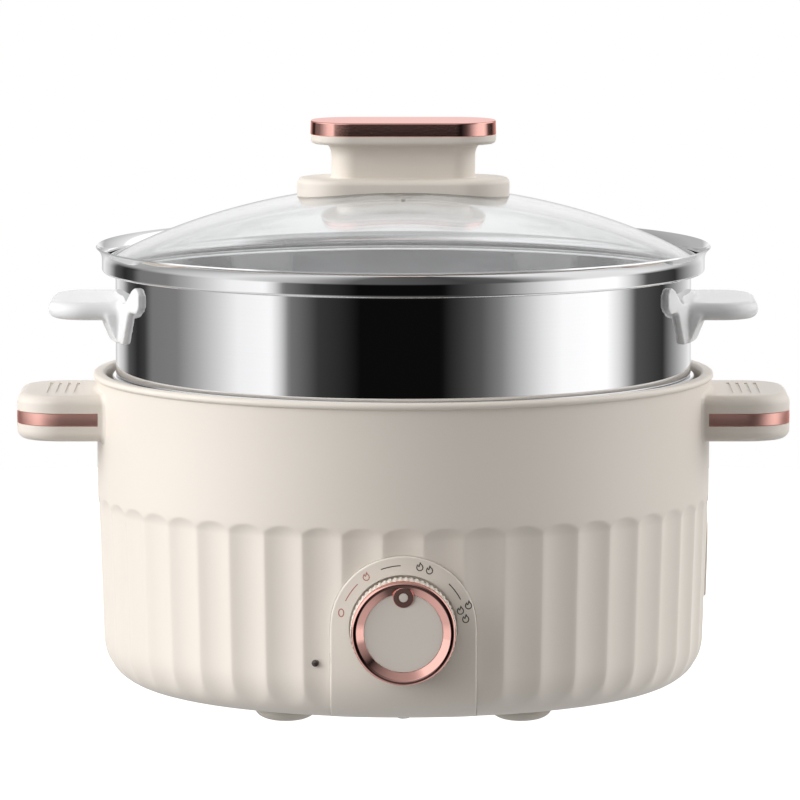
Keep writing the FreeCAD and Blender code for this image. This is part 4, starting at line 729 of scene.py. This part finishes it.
def arch_cover(name, half_width, spring, bottom, bevel=0.7):
    """A curved arch-shaped insert that lies on the wall, with a rounded edge."""
    middle = (spring + bottom) / 2
    back = -WALL_THICK + 0.3
    brink = bevel + 0.5
    rows = [(0, share, back) for share in (0.0, 0.3, 0.65, 1.0)] + [(0, 1.0, PANEL_PROUD - bevel)]
    rows += [(inset, 1.0, lift) for inset, lift in rounded_edge(PANEL_PROUD, bevel, 4)]
    rows += [(brink, 1 - step / 14, PANEL_PROUD) for step in range(15)]
    loops = []
    for inset, share, lift in rows:
        outline = arch_outline(half_width - inset, spring, bottom + inset)
        loops.append([on_wall(x * share, middle + (z - middle) * share, lift) for x, z in outline])
    return to_mesh(name, *skin(loops))


def make_control_panel():
    """The smooth insert round the dial, bored for its shaft and sunk for its skirt."""
    bottom = HEEL_HEIGHT - HEEL_ROUND * pi / 2
    panel = arch_cover("panel", PANEL_HALF_WIDTH, DIAL_HEIGHT, bottom)
    inner, outer = DIAL_RADIUS - 4, DIAL_RADIUS + 0.7
    floor, beyond = 139.8, 146
    moat = lathe("moat", [(inner, floor), (outer, floor), (outer, beyond), (inner, beyond)], 96)
    moat.transform(DIAL_PLACE)
    panel = combined(panel, [rod(3.6, 100, 160, DIAL_HEIGHT), moat])
    place("panel_arch", panel, "base", "cream_plastic", ["control_panel"], 40)


# ---- Dial ----
KNURLS = 60
KNURL_SAMPLES = (-0.5, -0.42, -0.325, -0.28, -0.2, -0.1, 0, 0.1, 0.2, 0.28, 0.325, 0.42, 0.5)


def knurled(across, groove=0.9, sunk=0.5):
    """How far the skirt's outside stands off its full radius, at a distance from a groove's middle."""
    if abs(across) > sqrt(groove ** 2 - (groove - sunk) ** 2):
        return 0
    return groove - sunk - sqrt(groove ** 2 - across ** 2)


def make_dial():
    """The knurled skirt, the plated ring with its pointer, the face plate and the pointer's dot."""
    pitch = 2 * pi / KNURLS
    web = DIAL_SEAT - 2.2
    rows = []
    for radius, reach in (
            (0.01, web), (0.01, DIAL_SEAT), (DIAL_RADIUS - 0.5, DIAL_SEAT), (DIAL_RADIUS, DIAL_SEAT - 0.5),
            (DIAL_RADIUS, DIAL_BACK), (DIAL_RADIUS - 2.2, DIAL_BACK), (DIAL_RADIUS - 2.2, web), (6.0, web),
            (6.0, DIAL_BACK), (3.0, DIAL_BACK), (3.0, DIAL_BACK + 7), (0.01, DIAL_BACK + 7)):
        row = []
        for share in KNURL_SAMPLES:
            turn = share * pitch
            away = radius + (knurled(turn * radius) if radius == DIAL_RADIUS else 0)
            row.append((away * cos(turn), away * sin(turn), reach))
        rows.append(row)
    skirt = repeated("dial_skirt", rows, KNURLS, "dial_cream")
    place("dial_skirt", skirt, "dial", "cream_plastic", ["dial_body"], 30, "dial_cream", DIAL_PLACE)

    crest = DIAL_RING_RADIUS - 1.3
    ring = lathe("dial_ring", rounded_path([
        (DIAL_DISC_RADIUS, DIAL_SEAT, 0), (DIAL_RING_RADIUS, DIAL_SEAT, 0.2),
        (DIAL_RING_RADIUS, DIAL_FRONT, 1.25), (crest - 0.9, DIAL_FRONT - 0.25, 0.7),
        (DIAL_DISC_RADIUS, DIAL_FACE + 0.15, 0.15)], 8), 160)
    lobe_top = DIAL_FACE + 1.1
    ring = combined(ring, [sloped(pointer_slug(POINTER_RADIUS, DIAL_SEAT, lobe_top, 0.3))], "UNION")
    ring = combined(ring, [pointer_slug(POINTER_DOT, DIAL_SEAT - 1, lobe_top + 5, 0)])
    place("dial_ring_plated", ring, "dial", "rose_gold", ["dial_ring"], 35, turned=DIAL_PLACE)

    face = lathe("dial_face", [
        (0, DIAL_SEAT), (DIAL_DISC_RADIUS - 0.1, DIAL_SEAT), (DIAL_DISC_RADIUS - 0.1, DIAL_FACE - 0.1),
        (DIAL_DISC_RADIUS - 0.25, DIAL_FACE), (DIAL_DISC_RADIUS - 2, DIAL_FACE - 0.02),
        (0, DIAL_FACE - 0.12)], 160, closed=False)
    face = combined(face, [pointer_slug(POINTER_RADIUS + 0.05, DIAL_SEAT - 1, DIAL_FACE + 5, 0)])
    place("dial_face_plate", face, "dial", "cream_plastic", ["dial_disc"], 35, "dial_cream", DIAL_PLACE)
    dot = sloped(pointer_slug(POINTER_DOT - 0.05, DIAL_SEAT, lobe_top - 0.05, 0.15))
    place("dial_pointer_dot", dot, "dial", "cream_plastic", (), 35, "dial_cream", DIAL_PLACE)


def sloped(mesh, slope=0.2):
    """A slug whose top leans towards the dial's middle, as the ring's inside does."""
    for vert in mesh.vertices:
        if vert.co.z > DIAL_SEAT + 0.01:
            vert.co.z += (vert.co.y - POINTER_REACH) * slope
    return mesh


def pointer_slug(radius, low, high, edge):
    """A round slug where the pointer is, with a rounded top edge."""
    profile = [(0, low), (radius, low), (radius, high - edge)]
    if edge:
        profile += [(radius - inset, height) for inset, height in rounded_edge(high, edge, 4)]
    profile.append((0, high))
    mesh = lathe("slug", profile, 64, closed=False)
    mesh.transform(Matrix.Translation((0, POINTER_REACH, 0)))
    return mesh


# ---- Print round the dial ----
def ribbon(points, width, closed=False, lift=0.05):
    """A thin printed stroke along (x, height) points, laid on the panel."""
    rings = []
    count = len(points)
    for index, point in enumerate(points):
        before = Vector(points[index - 1] if closed or index else point)
        after = Vector(points[(index + 1) % count] if closed or index + 1 < count else point)
        side = (after - before).normalized().orthogonal() * (width / 2)
        rings.append([
            on_wall(point[0] + sign * side.x, point[1] + sign * side.y, PANEL_PROUD + height)
            for sign, height in ((-1, -lift), (1, -lift), (1, lift), (-1, lift))])
    return skin(rings, closed)


def flame_path(x, z, tall=3.9):
    """A generic flame's outline: a round belly, a tall leaning tongue and a short one beside it."""
    outline = ((0.06, 0.5), (0.10, 0.30), (0.28, 0.12), (0.36, -0.10), (0.31, -0.32), (0.14, -0.47),
               (-0.08, -0.49), (-0.28, -0.36), (-0.36, -0.14), (-0.32, 0.08), (-0.24, 0.24),
               (-0.17, 0.04), (-0.08, -0.02), (-0.02, 0.20))
    return [(x + tall * across, z + tall * up) for across, up in outline]


def round_dial(angle, radius=28.9):
    """The point (x, height) at an angle from the top of the dial."""
    turn = radians(angle)
    return radius * sin(turn), DIAL_HEIGHT + radius * cos(turn)


def make_print():
    """Off mark, dashes and flames round the dial, from off over low to high."""
    x, z = round_dial(-76)
    zero = [(x + 1.15 * cos(angle), z + 1.75 * sin(angle)) for angle in angles(20, 2 * pi)[:-1]]
    strokes = {"rose_ink": [ribbon(zero, 0.5, True)], "dark_ink": []}
    for centre, half, ink in ((-55, 9.5, "rose_ink"), (-11.5, 9.0, "dark_ink"), (54, 9.0, "dark_ink")):
        dash = [round_dial(centre + half * share / 4) for share in range(-4, 5)]
        strokes[ink].append(ribbon(dash, 0.44))
    for angle, radius, ink in ((-35, 29.2, "rose_ink"), (14.5, 29.4, "dark_ink"), (23.5, 29.4, "dark_ink"),
                               (72, 27.0, "dark_ink"), (70, 31.2, "dark_ink"), (81, 28.4, "dark_ink")):
        strokes[ink].append(ribbon(flame_path(*round_dial(angle, radius)), 0.44, True))
    for ink, parts in strokes.items():
        place(f"panel_print_{ink}", to_mesh(ink, *joined(parts)), "base", "cream_plastic", (), 60, ink)


# ---- Side handles, their strips and the steamer's grips ----
ROOT_ROWS = (-3.5, -2, -0.6, 0.2, 0.9, 1.7, 2.6, 3.8, 5.5, 8.0, 12.0, 16.0)


def tab_outline(wall, reach, half_width, corner, inset):
    """Half-round-cornered tab that sticks out of a wall along X: points from its root round the tip."""
    half = half_width - inset
    bend = corner - inset
    middle = reach - corner
    side = [wall + row for row in ROOT_ROWS if wall + row < middle - 1]
    lower = [(x, -half) for x in side]
    lower += [(middle + bend * sin(angle), -half + bend * (1 - cos(angle))) for angle in angles(14)]
    lower += [(reach - inset, (corner - half_width) * (1 - step / 4)) for step in range(1, 4)]
    return lower + [(reach - inset, 0)] + [(x, -y) for x, y in reversed(lower)]


def hug(x, y, wall):
    """X moved back so that a tab's root follows the round wall, less and less towards its tip."""
    sag = wall - sqrt(wall * wall - y * y)
    share = min(max((wall + 14 - x) / 12, 0), 1)
    return x - sag * share


def make_tab(name, wall, reach, half_width, corner, section, flare):
    """A slab with a tab outline; its section is (inset, height, slope out, slope up) up its side."""
    across = 8
    spread = [1 - 2 * step / across for step in range(across + 1)]

    def bent(x, y, height, out, up):
        away = max(min((x - wall) / flare, 1), 0)
        root = flare * (1 - sqrt(1 - (1 - away) ** 2))
        side = copysign(root * out, y) if abs(y) > 1 else 0
        return hug(x, y, wall), y + side, height + root * up

    rings, lids = [], []
    for number, (inset, *rest) in enumerate(section):
        outline = tab_outline(wall, reach, half_width, corner, inset)
        root = [(outline[0][0], outline[-1][1] * share) for share in spread[1:-1]]
        rings.append([bent(x, y, *rest) for x, y in outline + root])
        if number in (0, len(section) - 1):
            last = len(outline) // 2 - across // 2 + 1
            lids.append([[bent(x, y * share, *rest) for share in spread] for x, y in outline[:last]])
    return to_mesh(name, *joined([skin(rings)] + [strip(rows) for rows in lids]))


def slab_section(low, high, edge):
    """A slab's side as (inset, height, slope out, slope up), with both edges rounded."""
    rows = [(edge + 0.6, low, 0, -1)]
    rows += [(edge * (1 - sin(angle)), low + edge * (1 - cos(angle)), sin(angle),
              -cos(angle)) for angle in angles(6)]
    return rows + [(inset, low + high - height, out, -up) for inset, height, out, up in reversed(rows)]


def strip_band(name, reach, half_width, corner, start, low, high, deep, proud):
    """A band round a tab's edge from one side to the other, with a slightly crowned face."""
    soft, bulge = 0.25, 0.08
    outline = [(x, y) for x, y in tab_outline(WALL_RADIUS, reach, half_width, corner, 0) if x > start + 1]
    outline = [(start, -half_width)] + outline + [(start, half_width)]
    section = [(-deep, low), (proud - soft, low), (proud, low + soft)]
    section += [(proud + bulge * sin(angle), low + soft + (high - low - 2 * soft) * step / 8)
                for step, angle in enumerate(angles(7, pi * 7 / 8, 1), 1)]
    section += [(proud, high - soft), (proud - soft, high), (-deep, high)]
    rings = []
    for number, (x, y) in enumerate(outline):
        before = Vector(outline[max(number - 1, 0)])
        after = Vector(outline[min(number + 1, len(outline) - 1)])
        along = (after - before).normalized()
        rings.append([(x + along.y * out, y - along.x * out, height) for out, height in section])
    return to_mesh(name, *skin(rings))


def make_side_handles():
    """The shell's handles: rounded slabs that flow out of the wall, slotted for their plated strips."""
    half_width = TRIM_HIGH.y - 0.15
    reach = TRIM_HIGH.x - 0.15
    corner = 21.0
    tab = (reach, half_width, corner)
    start = sqrt(WALL_RADIUS ** 2 - half_width ** 2) + 3.4
    low, high = TRIM_LOW.z, TRIM_HIGH.z
    section = slab_section(HANDLE_LOW.z, HANDLE_HIGH.z, 4.5)
    for side, turned in BOTH_SIDES:
        handle = make_tab("handle", WALL_RADIUS, *tab, section, 1.6)
        tools = [groove_tool(reach - 14.7 - number * 4.17, HANDLE_HIGH.z) for number in range(4)]
        tools.append(strip_band("slot", *tab, start, low, high, 1.2, 2.0))
        place(f"{side}_handle_moulding", combined(handle, tools), "base", "cream_plastic",
              [f"{side}_side_handle"], 38, turned=turned)
        trim = strip_band("trim", *tab, start + 0.05, low + 0.06, high - 0.06, 1.1, -0.1)
        place(f"{side}_handle_strip", trim, "base", "rose_gold", [f"{side}_handle_trim"], 38,
              "rose_gold_satin", turned)


def groove_tool(x, top, length=43.4, width=1.5, depth=0.5):
    """A round-ended bar along Y that cuts a finger groove into a top face."""
    outline = rounded_box(width, length, width / 2.02, 5, x)
    heights = (top - depth, top + 4)
    return to_mesh("groove", *skin([[(x, y, height) for x, y in outline] for height in heights]))


def wall_patch(radius, half_angle, low, high, thick_low, thick_high, steps=60):
    """A curved slab that hugs a round wall, with its bottom and top given by angle."""
    rings = []
    for step in range(steps + 1):
        angle = half_angle * (2 * step / steps - 1)
        bottom, top = low(angle), high(angle)
        section = [(radius - 1.2, bottom), (radius + thick_low, bottom), (radius + thick_high, top),
                   (radius - 1.2, top)]
        rings.append([(away * cos(angle), away * sin(angle), height) for away, height in section])
    return to_mesh("wall_patch", *skin(rings))


def ease(value):
    """Rise from 0 to 1 with a level start and end."""
    value = min(max(value, 0), 1)
    return value * value * (3 - 2 * value)


def make_steamer_grips():
    """The white grips: a rounded plate on a wedge, and a saddle with two raised tips on the wall."""
    half_width = 36.5
    plate_low, plate_high = 178.4, 186.6
    foot, top = EAR_LOW.z, EAR_HIGH.z
    section = slab_section(plate_low, plate_high, 4.0)
    wedge_end = asin(half_width / (STEAMER_RADIUS + 4))
    foot_end, waist, tip = (asin(across / STEAMER_RADIUS) for across in (41.5, 49.7, 60.8))

    def saddle_low(angle):
        share = (abs(angle) - foot_end) / (waist - foot_end)
        corner = 3.5 * ease((abs(angle) - tip + 0.03) / 0.03) ** 2
        return foot + 15.5 * min(max(share, 0), 1) + corner

    def saddle_high(angle):
        rise = ease((abs(angle) - waist + 0.06) / (tip - waist + 0.03))
        corner = 3.0 * ease((abs(angle) - tip + 0.03) / 0.03) ** 2
        return plate_high + 0.6 + (top - plate_high - 0.7) * rise - corner

    for side, turned in BOTH_SIDES:
        plate = make_tab("grip", STEAMER_RADIUS, EAR_HIGH.x, half_width, 19.0, section, 4.5)
        wedge = wall_patch(STEAMER_RADIUS, wedge_end, lambda angle: foot,
                           lambda angle: plate_low + 3, 3.0, 8.6)
        saddle = wall_patch(STEAMER_RADIUS, tip, saddle_low, saddle_high, 2.3, 2.1)
        thing = as_object("grip", combined(plate, [wedge, saddle], "UNION"))
        grid = thing.modifiers.new("grid", "REMESH")
        grid.mode = "VOXEL"
        grid.voxel_size = 0.7
        soften = thing.modifiers.new("soften", "SMOOTH")
        soften.factor = 0.5
        soften.iterations = 8
        place(f"{side}_steamer_grip", settled(thing), "steamer", "white_plastic",
              [f"{side}_steamer_handle"], 80, turned=turned, flats=False)


# ---- Steel: pot and steamer ----
def make_pot():
    """The drawn pot with its rolled rim."""
    sheet = 1.0
    radius = STEAMER_RADIUS - 1.8
    rim = POT_RIM.x
    pot = lathe("pot", rounded_path([
        (0.01, POT_FLOOR, 0), (radius, POT_FLOOR, 16), (radius, POT_RIM.z - sheet, 0.4),
        (rim - sheet, POT_RIM.z - sheet, 0.2), (rim - sheet, POT_RIM.z - 2.2, 0),
        (rim, POT_RIM.z - 2.2, 0), (rim, POT_RIM.z, 1.2), (radius - sheet, POT_RIM.z, 1.4),
        (radius - sheet, POT_FLOOR + sheet, 15), (0.01, POT_FLOOR + sheet, 0)], 8), 256)
    place("pot_drawn", pot, "base", "polished_steel", ["inner_pot"], 40)


def make_steamer():
    """The steamer's wall with its stepped, flared brim, and its perforated floor."""
    sheet = STEAMER_SHEET
    shoulder = POT_RIM.z
    floor = STEAMER_LOW.z
    run = BRIM_RADIUS - BAND_RADIUS
    rise = STEAMER_HIGH.z - BAND_TOP
    flare = (run * run + rise * rise) / (2 * run)
    sheet_radius = SPIGOT_RADIUS - 5.2

    def brim(radius, steps=8):
        reach = asin(rise / flare)
        return [(BAND_RADIUS + flare - radius * cos(reach * step / steps),
                 BAND_TOP + radius * sin(reach * step / steps)) for step in range(1, steps + 1)]

    body = rounded_path([
        (sheet_radius, floor, 0), (SPIGOT_RADIUS, floor, 5), (SPIGOT_RADIUS, shoulder, 0.5),
        (STEAMER_RADIUS, shoulder, 1.2), (STEAMER_RADIUS, BAND_BOTTOM, 0.6),
        (BAND_RADIUS, BAND_BOTTOM, 1.4), (BAND_RADIUS, BAND_TOP, 0)], 6)
    inside = rounded_path([
        (BAND_RADIUS - sheet, BAND_TOP, 0), (BAND_RADIUS - sheet, BAND_BOTTOM + sheet, 0.6),
        (STEAMER_RADIUS - sheet, BAND_BOTTOM + sheet, 1.2), (STEAMER_RADIUS - sheet, shoulder + sheet, 0.5),
        (SPIGOT_RADIUS - sheet, shoulder + sheet, 1.2), (SPIGOT_RADIUS - sheet, floor + sheet, 4.2),
        (sheet_radius, floor + sheet, 0)], 6)
    outline = body + brim(flare) + brim(flare + sheet)[::-1] + inside
    wall = lathe("steamer", outline, 256)
    place("steamer_wall", wall, "steamer", "polished_steel", ["steamer_basket"], 40, "steamer_steel")
    sheet_floor = run_tree("steamer_floor", bpy.data.meshes.new("empty"), STEAM_HOLES, {
        "Sheet Radius": sheet_radius, "Thickness": sheet, "Height": floor, "Hole Radius": 5.0,
        "Ring Pitch": 26.0, "Holes": 61, "Material": MATERIALS["steamer_steel"]})
    place("steamer_floor", sheet_floor, "steamer", "polished_steel", (), 40, "steamer_steel")


# ---- Lid ----
def dome_at(away, radius=DOME_RADIUS):
    """Height of the glass's outer or inner surface at a distance from the axis."""
    under = sqrt((DOME_RADIUS - GLASS_THICK) ** 2 - GLASS_RADIUS ** 2)
    return LEDGE_TOP + EDGE_SHEET - under + sqrt(radius * radius - away * away)


def make_lid_glass():
    """The domed glass with a ground edge, and the steel strip folded round it."""
    inner = DOME_RADIUS - GLASS_THICK
    hole = 4.5
    steps = 40
    top = dome_at(GLASS_RADIUS)
    reach = [hole + (GLASS_RADIUS - 0.5 - hole) * step / steps for step in range(steps + 1)]
    outline = [(away, dome_at(away)) for away in reach]
    outline += [(GLASS_RADIUS, top - 0.7), (GLASS_RADIUS, dome_at(GLASS_RADIUS, inner) + 0.5)]
    outline += [(away, dome_at(away, inner)) for away in reversed(reach)]
    place("lid_dome", lathe("glass", outline, 256), "lid", "clear_glass", ["lid_glass"], 30)

    covered = GLASS_RADIUS - 1.6
    rim = lathe("rim", rounded_path([
        (covered, LEDGE_TOP, 0.25), (EDGE_RADIUS, LEDGE_TOP, 0.5), (EDGE_RADIUS, top + 0.3, 0.5),
        (covered, dome_at(covered) + 0.55, 0.25), (covered, dome_at(covered), 0.1),
        (GLASS_RADIUS, top, 0), (GLASS_RADIUS, LEDGE_TOP + EDGE_SHEET, 0),
        (covered, LEDGE_TOP + EDGE_SHEET, 0.1)], 5), 256)
    place("lid_edge_strip", rim, "lid", "polished_steel", ["lid_rim"], 40)


def slab_ring(size, inset, height):
    """A rounded rectangle's points at a height: (length, width, corner) drawn in by an inset."""
    length, width, corner = size
    outline = rounded_box(length - 2 * inset, width - 2 * inset, corner - inset, 12)
    return [(x, y, height) for x, y in outline]


def place_slab(name, rings, slot, node):
    """A piece of the lid's handle, through rings of points."""
    place(name, to_mesh(node, *skin(rings)), "lid", slot, [node], 40)


def make_lid_handle():
    """The lid's handle: a pad on the dome, a neck that flares into a plate, and the plated cap."""
    pad = (2 * KNOB_BASE.x, 2 * KNOB_BASE.y, 2 * KNOB_BASE.y / 2.001)
    edge = 2.6
    rings = [[(x * share, y * share, dome_at(hypot(x, y) * share) + 0.02)
              for x, y, _ in slab_ring(pad, 0, 0)] for share in (0.02, 0.35, 0.7, 1.0)]
    rows = [(0, KNOB_SEAT - edge)] + rounded_edge(KNOB_SEAT, edge, 6) + [(edge + 0.6, KNOB_SEAT)]
    rings += [slab_ring(pad, inset, height) for inset, height in rows]
    place_slab("lid_handle_pad", rings, "cream_plastic", "lid_handle_base")

    neck = (67.0, 28.0, 11.0)
    plate = (2 * KNOB_PLATE.x, 2 * KNOB_PLATE.y, 19.0)
    plate_low = KNOB_SEAT + 16.0
    flare_out, flare_down, skirt, under, soft = 3.4, 5.8, 0.9, 2.0, 0.25
    rings = [slab_ring(neck, -skirt * (1 - sin(angle)), KNOB_SEAT - 0.05 + skirt * (1 - cos(angle)))
             for angle in angles(4)]
    rings += [slab_ring(neck, -flare_out * (1 - cos(angle)),
                        plate_low - flare_down + flare_down * sin(angle)) for angle in angles(10)]
    rings += [slab_ring(plate, under * (1 - sin(angle)), plate_low + under * (1 - cos(angle)))
              for angle in angles(6)]
    rings += [slab_ring(plate, 0, KNOB_PLATE.z - soft), slab_ring(plate, soft, KNOB_PLATE.z)]
    place_slab("lid_handle_neck", rings, "cream_plastic", "lid_handle_grip")

    lean = 0.16
    rows = [(soft, KNOB_PLATE.z + 0.02), (0, KNOB_PLATE.z + soft)]
    rows += [(lean + inset, height) for inset, height in rounded_edge(KNOB_CAP.z, 0.6, 6, 0)]
    rows.append((1.5, KNOB_CAP.z))
    rings = [slab_ring(plate, inset, height) for inset, height in rows]
    place_slab("lid_handle_cap_plated", rings, "rose_gold", "lid_handle_cap")


# ---- Feet, indicator, inlet ----
def make_feet():
    """Four soft domed feet."""
    for name in ("front_left_foot", "front_right_foot", "rear_left_foot", "rear_right_foot"):
        low, high = low_high(name)
        centre = (low + high) / 2
        radius = (high.x - low.x) / 2
        profile = [(0, high.z), (3.0, high.z), (3.0, FOOT_HEIGHT), (radius, FOOT_HEIGHT)]
        profile += [(radius * cos(angle) ** 0.7, FOOT_HEIGHT - 1 - 5 * sin(angle) ** 1.2)
                    for angle in angles(12)[:-1]]
        profile.append((0, 0))
        place(f"{name}_dome", lathe("foot", profile, 64, closed=False), "base", "foot_rubber", [name], 40,
              turned=Matrix.Translation((centre.x, centre.y, 0)))


def make_indicator():
    """The small dark lens left of the panel."""
    tip = wall_at(INDICATOR_HEIGHT) + 0.2
    bulge = 0.55
    profile = [(0, tip - 6), (LENS_RADIUS, tip - 6), (LENS_RADIUS, tip - bulge)]
    profile += [(LENS_RADIUS * cos(angle), tip - bulge + bulge * sin(angle))
                for angle in angles(6, first=1)]
    turned = about_z(INDICATOR_ANGLE) @ facing_front(INDICATOR_HEIGHT)
    place("indicator_lens_dome", lathe("lens", profile, 32, closed=False), "base", "amber_lens",
          ["indicator_lens"], 40, turned=turned)


def make_inlet():
    """The inlet's arch-shaped cover with its socket, and the socket's housing behind the wall."""
    face = wall_at(INLET_HEIGHT)

    def block(wide, tall, corner, near, far):
        outline = [(x, INLET_HEIGHT + z) for x, z in rounded_box(wide, tall, corner, 5)]
        return outward_solid("block", outline, near, far)

    cover = arch_cover("inlet", *INLET_ARCH)
    cover = combined(cover, [block(35.4, 23.4, 3.5, face - 15.2, face - 1)], "UNION")
    cover = combined(cover, [block(31.0, 19.0, 2.0, face - 13, face + 10)])
    place("inlet_cover", cover, "base", "cream_plastic", ["power_inlet"], 38, turned=about_z(INLET_ANGLE))


KEPT_NODES = {
    "base_plate": "cream_plastic_matte", "base_screws": "plated_steel", "rotary_switch": "dark_plastic",
    "indicator_lamp": "amber_lens", "inlet_pins": "brass_pins", "handle_screws": "plated_steel",
    "pot_stand": "plated_steel", "heat_spreader": "cast_aluminium", "heating_tube": "heater_sheath",
    "thermostat": "dark_plastic", "clamp_bar": "plated_steel", "thermal_fuse": "dark_plastic",
    "dial_spindle": "dark_plastic", "steamer_rivets": "polished_steel", "lid_washer": "dark_plastic",
    "lid_screw": "polished_steel",
}


def dress_kept_nodes():
    """The solids that stay as they are get their finishes."""
    for name, finish in KEPT_NODES.items():
        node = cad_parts[name]
        node.data.materials.clear()
        node.data.materials.append(MATERIALS[finish])


# ---- Studio ----
def make_floor():
    """A plain white table, round, under the pot."""
    material, tree, shader = new_material("white_table")
    wire(tree, shader, [
        ("Base Color", ranged(tree, noise(tree, 3.0), 0.0, 1.0, 0.93, 0.95)), ("Roughness", 0.9),
        ("Specular IOR Level", 0.1), ("Emission Color", (1, 1, 1, 1)), ("Emission Strength", 1.0)])
    outline = circle(0.9, 96)
    mesh = bpy.data.meshes.new("table")
    mesh.from_pydata([(x, y, 0) for x, y in outline], [], [tuple(range(len(outline)))])
    mesh.materials.append(material)
    table = as_object("table", mesh)
    table.visible_diffuse = False
    table.visible_glossy = False
    table.visible_shadow = False


def bearing_ramp(tree, share, stops):
    """Light by bearing: stops of (degrees from the front, towards +X positive, and brightness)."""
    peak = max(level for _, level in stops)
    ramp = add(tree, "ShaderNodeValToRGB", [("Fac", share)])
    elements = ramp.color_ramp.elements
    for number, (bearing, level) in enumerate(stops):
        spot = (bearing + 180) / 360
        stop = elements[number] if number < 2 else elements.new(spot)
        stop.position = spot
        stop.color = (level / peak, level / peak, level / peak, 1)
    return maths(tree, "MULTIPLY", ramp, peak)


def mixed(tree, factor, first, second):
    """One value turned into another by a factor."""
    return add(tree, "ShaderNodeMix", [("Factor", factor), ("A", first), ("B", second)])


def make_world():
    """The studio round the pot: soft boxes by bearing, a belt at table level, a ceiling and a floor.

    The boxes light the mouldings at full strength and show in polished faces at a calmer one.
    """
    belt = ((-180, 0.6), (-172, 0.6), (-163, 0.9), (-152, 0.6), (-143, 0.1), (-133, 0.027), (-126, 0.05),
            (-120, 0.2), (-102, 0.23), (-90, 0.45), (-79, 0.72), (-69, 1.0), (-54, 1.1), (-50, 0.75),
            (-46, 0.2), (-34, 0.043), (-25, 0.025), (-17, 0.004), (15, 0.004), (23, 0.044), (31, 0.10),
            (39, 0.235), (48, 0.56), (57, 0.875), (66, 1.1), (88, 1.2), (96, 0.8), (106, 0.09),
            (127, 0.033), (149, 0.58), (163, 0.9), (180, 0.6))
    boxes = ((-180, 1.15), (-174, 1.0), (-166, 0.5), (-150, 0.5), (-125, 0.4), (-105, 3.3), (-85, 6.3),
             (-65, 3.7), (-45, 2.7), (-25, 1.3), (-5, 0.6), (15, 0.05), (35, 0.0), (55, 0.02),
             (75, 1.1), (95, 4.6), (115, 4.4), (140, 0.9), (166, 0.5), (174, 1.0), (180, 1.15))
    ground = ((-180, 0.55), (-120, 0.4), (-75, 0.85), (-45, 0.5), (-20, 0.12), (25, 0.06), (45, 0.12),
              (75, 0.85), (110, 0.9), (150, 0.5), (180, 0.55))
    ceiling = 0.45
    polished_limit = 1.25
    world = bpy.data.worlds.new("studio")
    bpy.context.scene.world = world
    world.use_nodes = True
    tree = world.node_tree
    tree.nodes.clear()
    direction = add(tree, "ShaderNodeTexCoord").outputs["Generated"]
    x, y, z = add(tree, "ShaderNodeSeparateXYZ", [(0, direction)]).outputs
    bearing = maths(tree, "ARCTAN2", x, maths(tree, "MULTIPLY", y, -1.0))
    share = ranged(tree, bearing, -pi, pi)
    light = bearing_ramp(tree, share, belt)
    for start, end, level in ((-0.02, 0.08, bearing_ramp(tree, share, boxes)), (0.5, 0.85, ceiling),
                              (-0.2, -0.35, bearing_ramp(tree, share, ground))):
        light = mixed(tree, ranged(tree, z, start, end), light, level)
    seen = add(tree, "ShaderNodeLightPath").outputs
    calm = maths(tree, "MINIMUM", light, polished_limit)
    light = mixed(tree, seen["Is Glossy Ray"], light, calm)
    direct = maths(tree, "MAXIMUM", seen["Is Camera Ray"], seen["Is Transmission Ray"])
    lit = add(tree, "ShaderNodeBackground", [("Color", light), ("Strength", 1.0)])
    plain = add(tree, "ShaderNodeBackground", [("Color", (1, 1, 1, 1)), ("Strength", 1.0)])
    chosen = add(tree, "ShaderNodeMixShader", [(0, direct), (1, lit), (2, plain)])
    add(tree, "ShaderNodeOutputWorld", [("Surface", chosen)])


for make in (set_camera, make_shell, make_control_panel, make_dial, make_print, make_side_handles,
             make_steamer_grips, make_pot, make_steamer, make_lid_glass, make_lid_handle, make_feet,
             make_indicator, make_inlet, dress_kept_nodes, make_floor, make_world):
    make()
bpy.context.scene.view_settings.view_transform = "Standard"
